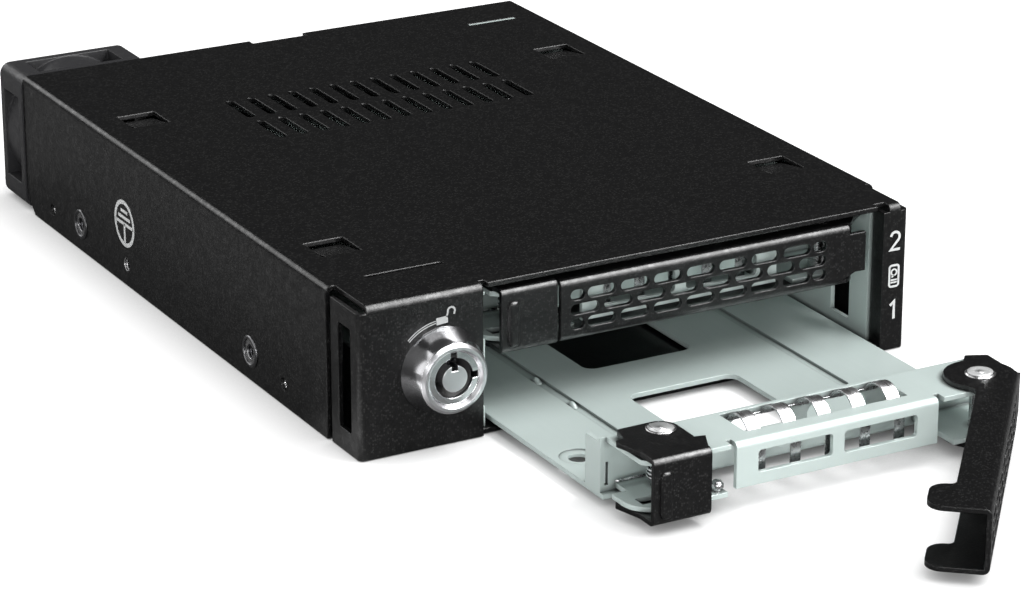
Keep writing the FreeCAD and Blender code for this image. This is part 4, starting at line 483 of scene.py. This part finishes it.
def make_lock_pins():
    """Round-ended pins in a ring about the lock's post, and a near-black sleeve of painted shade in the key well
    around them.
    """
    pin = turned_grid([(0.36, 0), (0.36, 1.05), (0.3, 1.2), (0.16, 1.3)], 20)
    angles = TURN * (np.arange(PIN_COUNT) + 0.5) / PIN_COUNT
    grids = [np.stack([LOCK[0] + PIN_CIRCLE * np.cos(a) + pin[..., 0], PIN_FOOT - pin[..., 2],
                       LOCK[2] + PIN_CIRCLE * np.sin(a) + pin[..., 1]], axis=-1) for a in angles]
    make_piece("lock_pins", "lock", grids, DARK_STEEL)
    # Sleeve and floor of the key well in near-black: painted shade where the chrome well would show light.
    wall = turned_grid([(3.27, 0.02), (3.27, 4.6), (3.2, 4.6), (3.17, 0.12), (2.2, 0.12), (2.2, 0.02)], 64)
    shade_sleeve = np.stack([LOCK[0] + wall[..., 0], WELL_FLOOR - wall[..., 2], LOCK[2] + wall[..., 1]], axis=-1)
    make_piece("key_well_shade_sleeve", "lock", [shade_sleeve], KEY_WELL_SHADE, wrap=True)


def tube(path, radius, count=12):
    """Round wire: a circle carried along a path, its axes square to the path and to the upright."""
    path = np.asarray(path, float)
    along = np.gradient(path, axis=0)
    along /= np.linalg.norm(along, axis=1)[:, None]
    side = np.cross(along, (0.0, 0.0, 1.0))
    side /= np.linalg.norm(side, axis=1)[:, None]
    rise = np.cross(side, along)
    angle = np.linspace(0, TURN, count, endpoint=False)
    circle = np.cos(angle)[None, :, None] * side[:, None] + np.sin(angle)[None, :, None] * rise[:, None]
    return path[:, None] + radius * circle


def pressed_bar(x, y, z):
    """Raised bar: rings of a squared ellipse that shrink as a quarter round climbs to a flat top."""
    angle = np.linspace(0, TURN, 72, endpoint=False)
    across = np.sign(np.cos(angle)) * np.abs(np.cos(angle)) ** 0.35
    upright = np.sign(np.sin(angle)) * np.abs(np.sin(angle)) ** 0.35
    climb = np.radians(np.linspace(0, 90, 9))
    inset = np.concatenate([0.5 * (1 - np.cos(climb)), [0.75, 0.98]])[:, None]
    stand = np.concatenate([0.5 * np.sin(climb), [0.5, 0.5]])[:, None]
    return np.stack([x + (1.0 - inset) * across, y - 0.01 - stand + 0 * across, z + (3.8 - inset) * upright], axis=-1)


def make_tray_hardware():
    """For each tray: coiled latch spring, dimpled rivet heads, the latch's bar and the bumps of the groove."""
    for tray, pull, level in (("lower", PULL, 0.0), ("upper", 0.0, TRAY_STEP)):
        face = FRONT - pull
        x, y = LATCH_AXIS_X, face + LATCH_AXIS_DEPTH
        turn = np.linspace(0.25, -3.0, 140) * TURN
        climb = np.linspace(4.45, 6.45, 140)
        coil = np.column_stack([x + 1.95 * np.cos(turn), y + 1.95 * np.sin(turn), level + climb])
        first = np.column_stack([np.linspace(x - 6.6, x - 0.3, 8), np.full(8, y + 1.95), np.full(8, level + 4.45)])
        last = np.column_stack([np.full(8, x + 1.95), np.linspace(y - 0.3, y - 8.6, 8), np.full(8, level + 6.45)])
        wire = tube(np.concatenate([first, coil, last]), 0.23)
        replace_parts(make_piece(tray + "_coil_spring", tray + "_tray", [wire], FINISHES["spring_metal"]),
                    tray + "_latch_spring")
        dimple = [(2.05, 0.0), (2.0, 0.09), (1.5, 0.15), (1.15, 0.13), (0.8, 0.03), (0.3, 0.01), (0.05, 0.01)]
        rivet = turned_grid(dimple)
        places = ((LEVER_AXIS_X, face + LEVER_AXIS_DEPTH, level + 12.36, 1.0), (x, y, level + 12.602, 0.2))
        heads = [np.stack([px + rivet[..., 0], py + rivet[..., 1], pz + rise * rivet[..., 2]], axis=-1)
                 for px, py, pz, rise in places]
        make_piece(tray + "_rivet_heads", tray + "_tray", heads, RIVET)
        make_piece(tray + "_latch_bar", tray + "_latch", [pressed_bar(x - 5.1, face, level + 6.5)],
                   FINISHES["lever_black"])
        out = np.linspace(1.0, 0.02, 14)
        bump = turned_grid(np.column_stack([out, (1 - out ** 2) ** 2]))
        bumps = [np.stack([TRAY_MIDDLE - GROOVE_REACH + 0.9 * bump[..., 0], face + depth + 1.5 * bump[..., 1],
                           level + 1.77 + 0.75 * bump[..., 2]], axis=-1) for depth in GROOVE_BUMP_DEPTHS]
        make_piece(tray + "_groove_bumps", tray + "_tray", bumps, FINISHES["zinc_sheet"])


make_bay_signs()
make_lock_sign()
make_earth_sign()
make_insert_rims()
make_screw_heads()
make_lock_pins()
make_tray_hardware()


# Places in metres on the stage, and the roll in degrees that lays a lamp along the front bends.
OBJECT_MIDDLE = (0.0, -0.03, 0.01)
# Middle of the floor patch that glows in gloss alone, a painted reflection for the lock's chrome.
BESIDE_LOCK = (-0.072, -0.068, 0.0)
BEND_ROLL = -46.0


def aimed(thing, place, target, roll=0.0):
    """Points a lamp or camera at a target, turned by a roll in degrees about its own line of sight."""
    turned = (Vector(target) - Vector(place)).to_track_quat("-Z", "Y")
    thing.location = place
    thing.rotation_euler = (turned @ Quaternion((0.0, 0.0, 1.0), math.radians(roll))).to_euler()
    bpy.context.scene.collection.objects.link(thing)


def soft_lamp(name, place, size, watts, roll=0.0, diffuse=True):
    """A rectangular lamp aimed at the middle of the object; without diffuse it shows in gloss alone."""
    lamp = bpy.data.lights.new(name, "AREA")
    lamp.shape = "RECTANGLE"
    lamp.size, lamp.size_y = size
    lamp.energy = watts
    holder = bpy.data.objects.new(name, lamp)
    holder.visible_diffuse = diffuse
    aimed(holder, place, OBJECT_MIDDLE, roll)


def floor_white():
    """White floor whose shadow, partly cast and partly painted, stays close to the object.

    To the camera, most of its white is a glow that fades where the object closes it in, a shadow painted from ambient
    occlusion. In gloss it is dark, so that black sheet stays black, apart from a white patch beside the lock that also
    glows in gloss: a painted reflection for the lock's chrome.
    """
    white, to_camera, in_gloss, patch = 0.8, 0.45, 0.17, 0.85
    material, tree, shader = new_material("floor_white", (white, white, white), 0.9, specular=0.0)
    path = add_node(tree, "ShaderNodeLightPath")
    place = add_node(tree, "ShaderNodeTexCoord").outputs["Object"]
    # Painted reflection: a patch beside the lock is white in gloss and glows there too, so the lock's chrome cone
    # shows white.
    away = add_node(tree, "ShaderNodeVectorMath", {0: place, 1: BESIDE_LOCK}, operation="DISTANCE")
    mirrored = add_node(tree, "ShaderNodeMapRange", {
        "Value": away.outputs["Value"], "From Min": 0.009, "From Max": 0.024, "To Min": patch, "To Max": in_gloss})
    seen = add_node(tree, "ShaderNodeMix", {"Factor": path.outputs["Is Glossy Ray"]}, data_type="RGBA")
    seen.inputs[6].default_value = (white, white, white, 1.0)
    tree.links.new(mirrored.outputs[0], seen.inputs[7])
    direct = add_node(tree, "ShaderNodeMix", {"Factor": path.outputs["Is Camera Ray"]}, data_type="RGBA")
    direct.inputs[7].default_value = (to_camera, to_camera, to_camera, 1.0)
    tree.links.new(seen.outputs[2], direct.inputs[6])
    tree.links.new(direct.outputs[2], shader.inputs["Base Color"])
    # Painted shadow: ambient occlusion fades the camera glow where the object closes the floor in.
    painted_shade_ao = add_node(tree, "ShaderNodeAmbientOcclusion", {"Distance": 0.012}, samples=12)
    glow = add_node(tree, "ShaderNodeMix", {"Factor": path.outputs["Is Camera Ray"]}, data_type="RGBA")
    beside = add_node(tree, "ShaderNodeMapRange", {
        "Value": away.outputs["Value"], "From Min": 0.012, "From Max": 0.03, "To Min": 0.6, "To Max": 0.0})
    shine = add_node(tree, "ShaderNodeMath", {
        0: beside.outputs[0], 1: path.outputs["Is Glossy Ray"]}, operation="MULTIPLY")
    tree.links.new(shine.outputs[0], glow.inputs[6])
    tree.links.new(painted_shade_ao.outputs["AO"], glow.inputs[7])
    tree.links.new(glow.outputs[2], shader.inputs["Emission Color"])
    shader.inputs["Emission Strength"].default_value = 0.85
    return material


def make_stage():
    """The floor, a grey world and soft lamps."""
    half = 4.0
    mesh = bpy.data.meshes.new("floor")
    mesh.from_pydata([(-half, -half, 0), (half, -half, 0), (half, half, 0), (-half, half, 0)], [], [(0, 1, 2, 3)])
    mesh.materials.append(floor_white())
    floor = bpy.data.objects.new("floor", mesh)
    floor.location.z = -0.2 * MM
    bpy.context.scene.collection.objects.link(floor)
    world = bpy.data.worlds.new("studio")
    bpy.context.scene.world = world
    world.use_nodes = True
    background = world.node_tree.nodes["Background"]
    background.inputs["Color"].default_value = (1, 1, 1, 1)
    background.inputs["Strength"].default_value = 0.045
    soft_lamp("key", (0.42, -0.33, 0.76), (0.17, 0.95), 9.0, BEND_ROLL)
    soft_lamp("bend_shine", (0.42, -0.54, 0.66), (0.45, 0.95), 12.0, BEND_ROLL, diffuse=False)
    soft_lamp("overhead", (-0.05, -0.55, 0.9), (0.5, 0.4), 3.0)
    soft_lamp("left", (-1.0, 0.2, 0.55), (1.3, 1.2), 5.0)
    soft_lamp("front_left", (-0.55, -0.92, 0.26), (0.6, 0.35), 4.8)
    soft_lamp("front_right", (0.3, -1.02, 0.24), (0.6, 0.35), 3.2)
    soft_lamp("behind_left", (-0.36, 0.82, 0.45), (0.6, 0.45), 2.2)


def make_camera():
    """Camera found from the housing's known section: azimuth, elevation, distance and lens."""
    azimuth, elevation, distance = math.radians(-28.95), math.radians(20.808), 0.6298
    aim = Vector((-7.188, FRONT + 30.0, 9.012)) * MM
    back = Vector((math.sin(azimuth) * math.cos(elevation), -math.cos(azimuth) * math.cos(elevation),
                   math.sin(elevation)))
    camera = bpy.data.cameras.new("camera")
    camera.sensor_width = 36.0
    camera.lens = 134.18
    camera.clip_start, camera.clip_end = 0.01, 20.0
    thing = bpy.data.objects.new("camera", camera)
    aimed(thing, aim + back * distance, aim)
    bpy.context.scene.camera = thing


make_stage()
make_camera()
bpy.context.scene.view_settings.view_transform = "Standard"
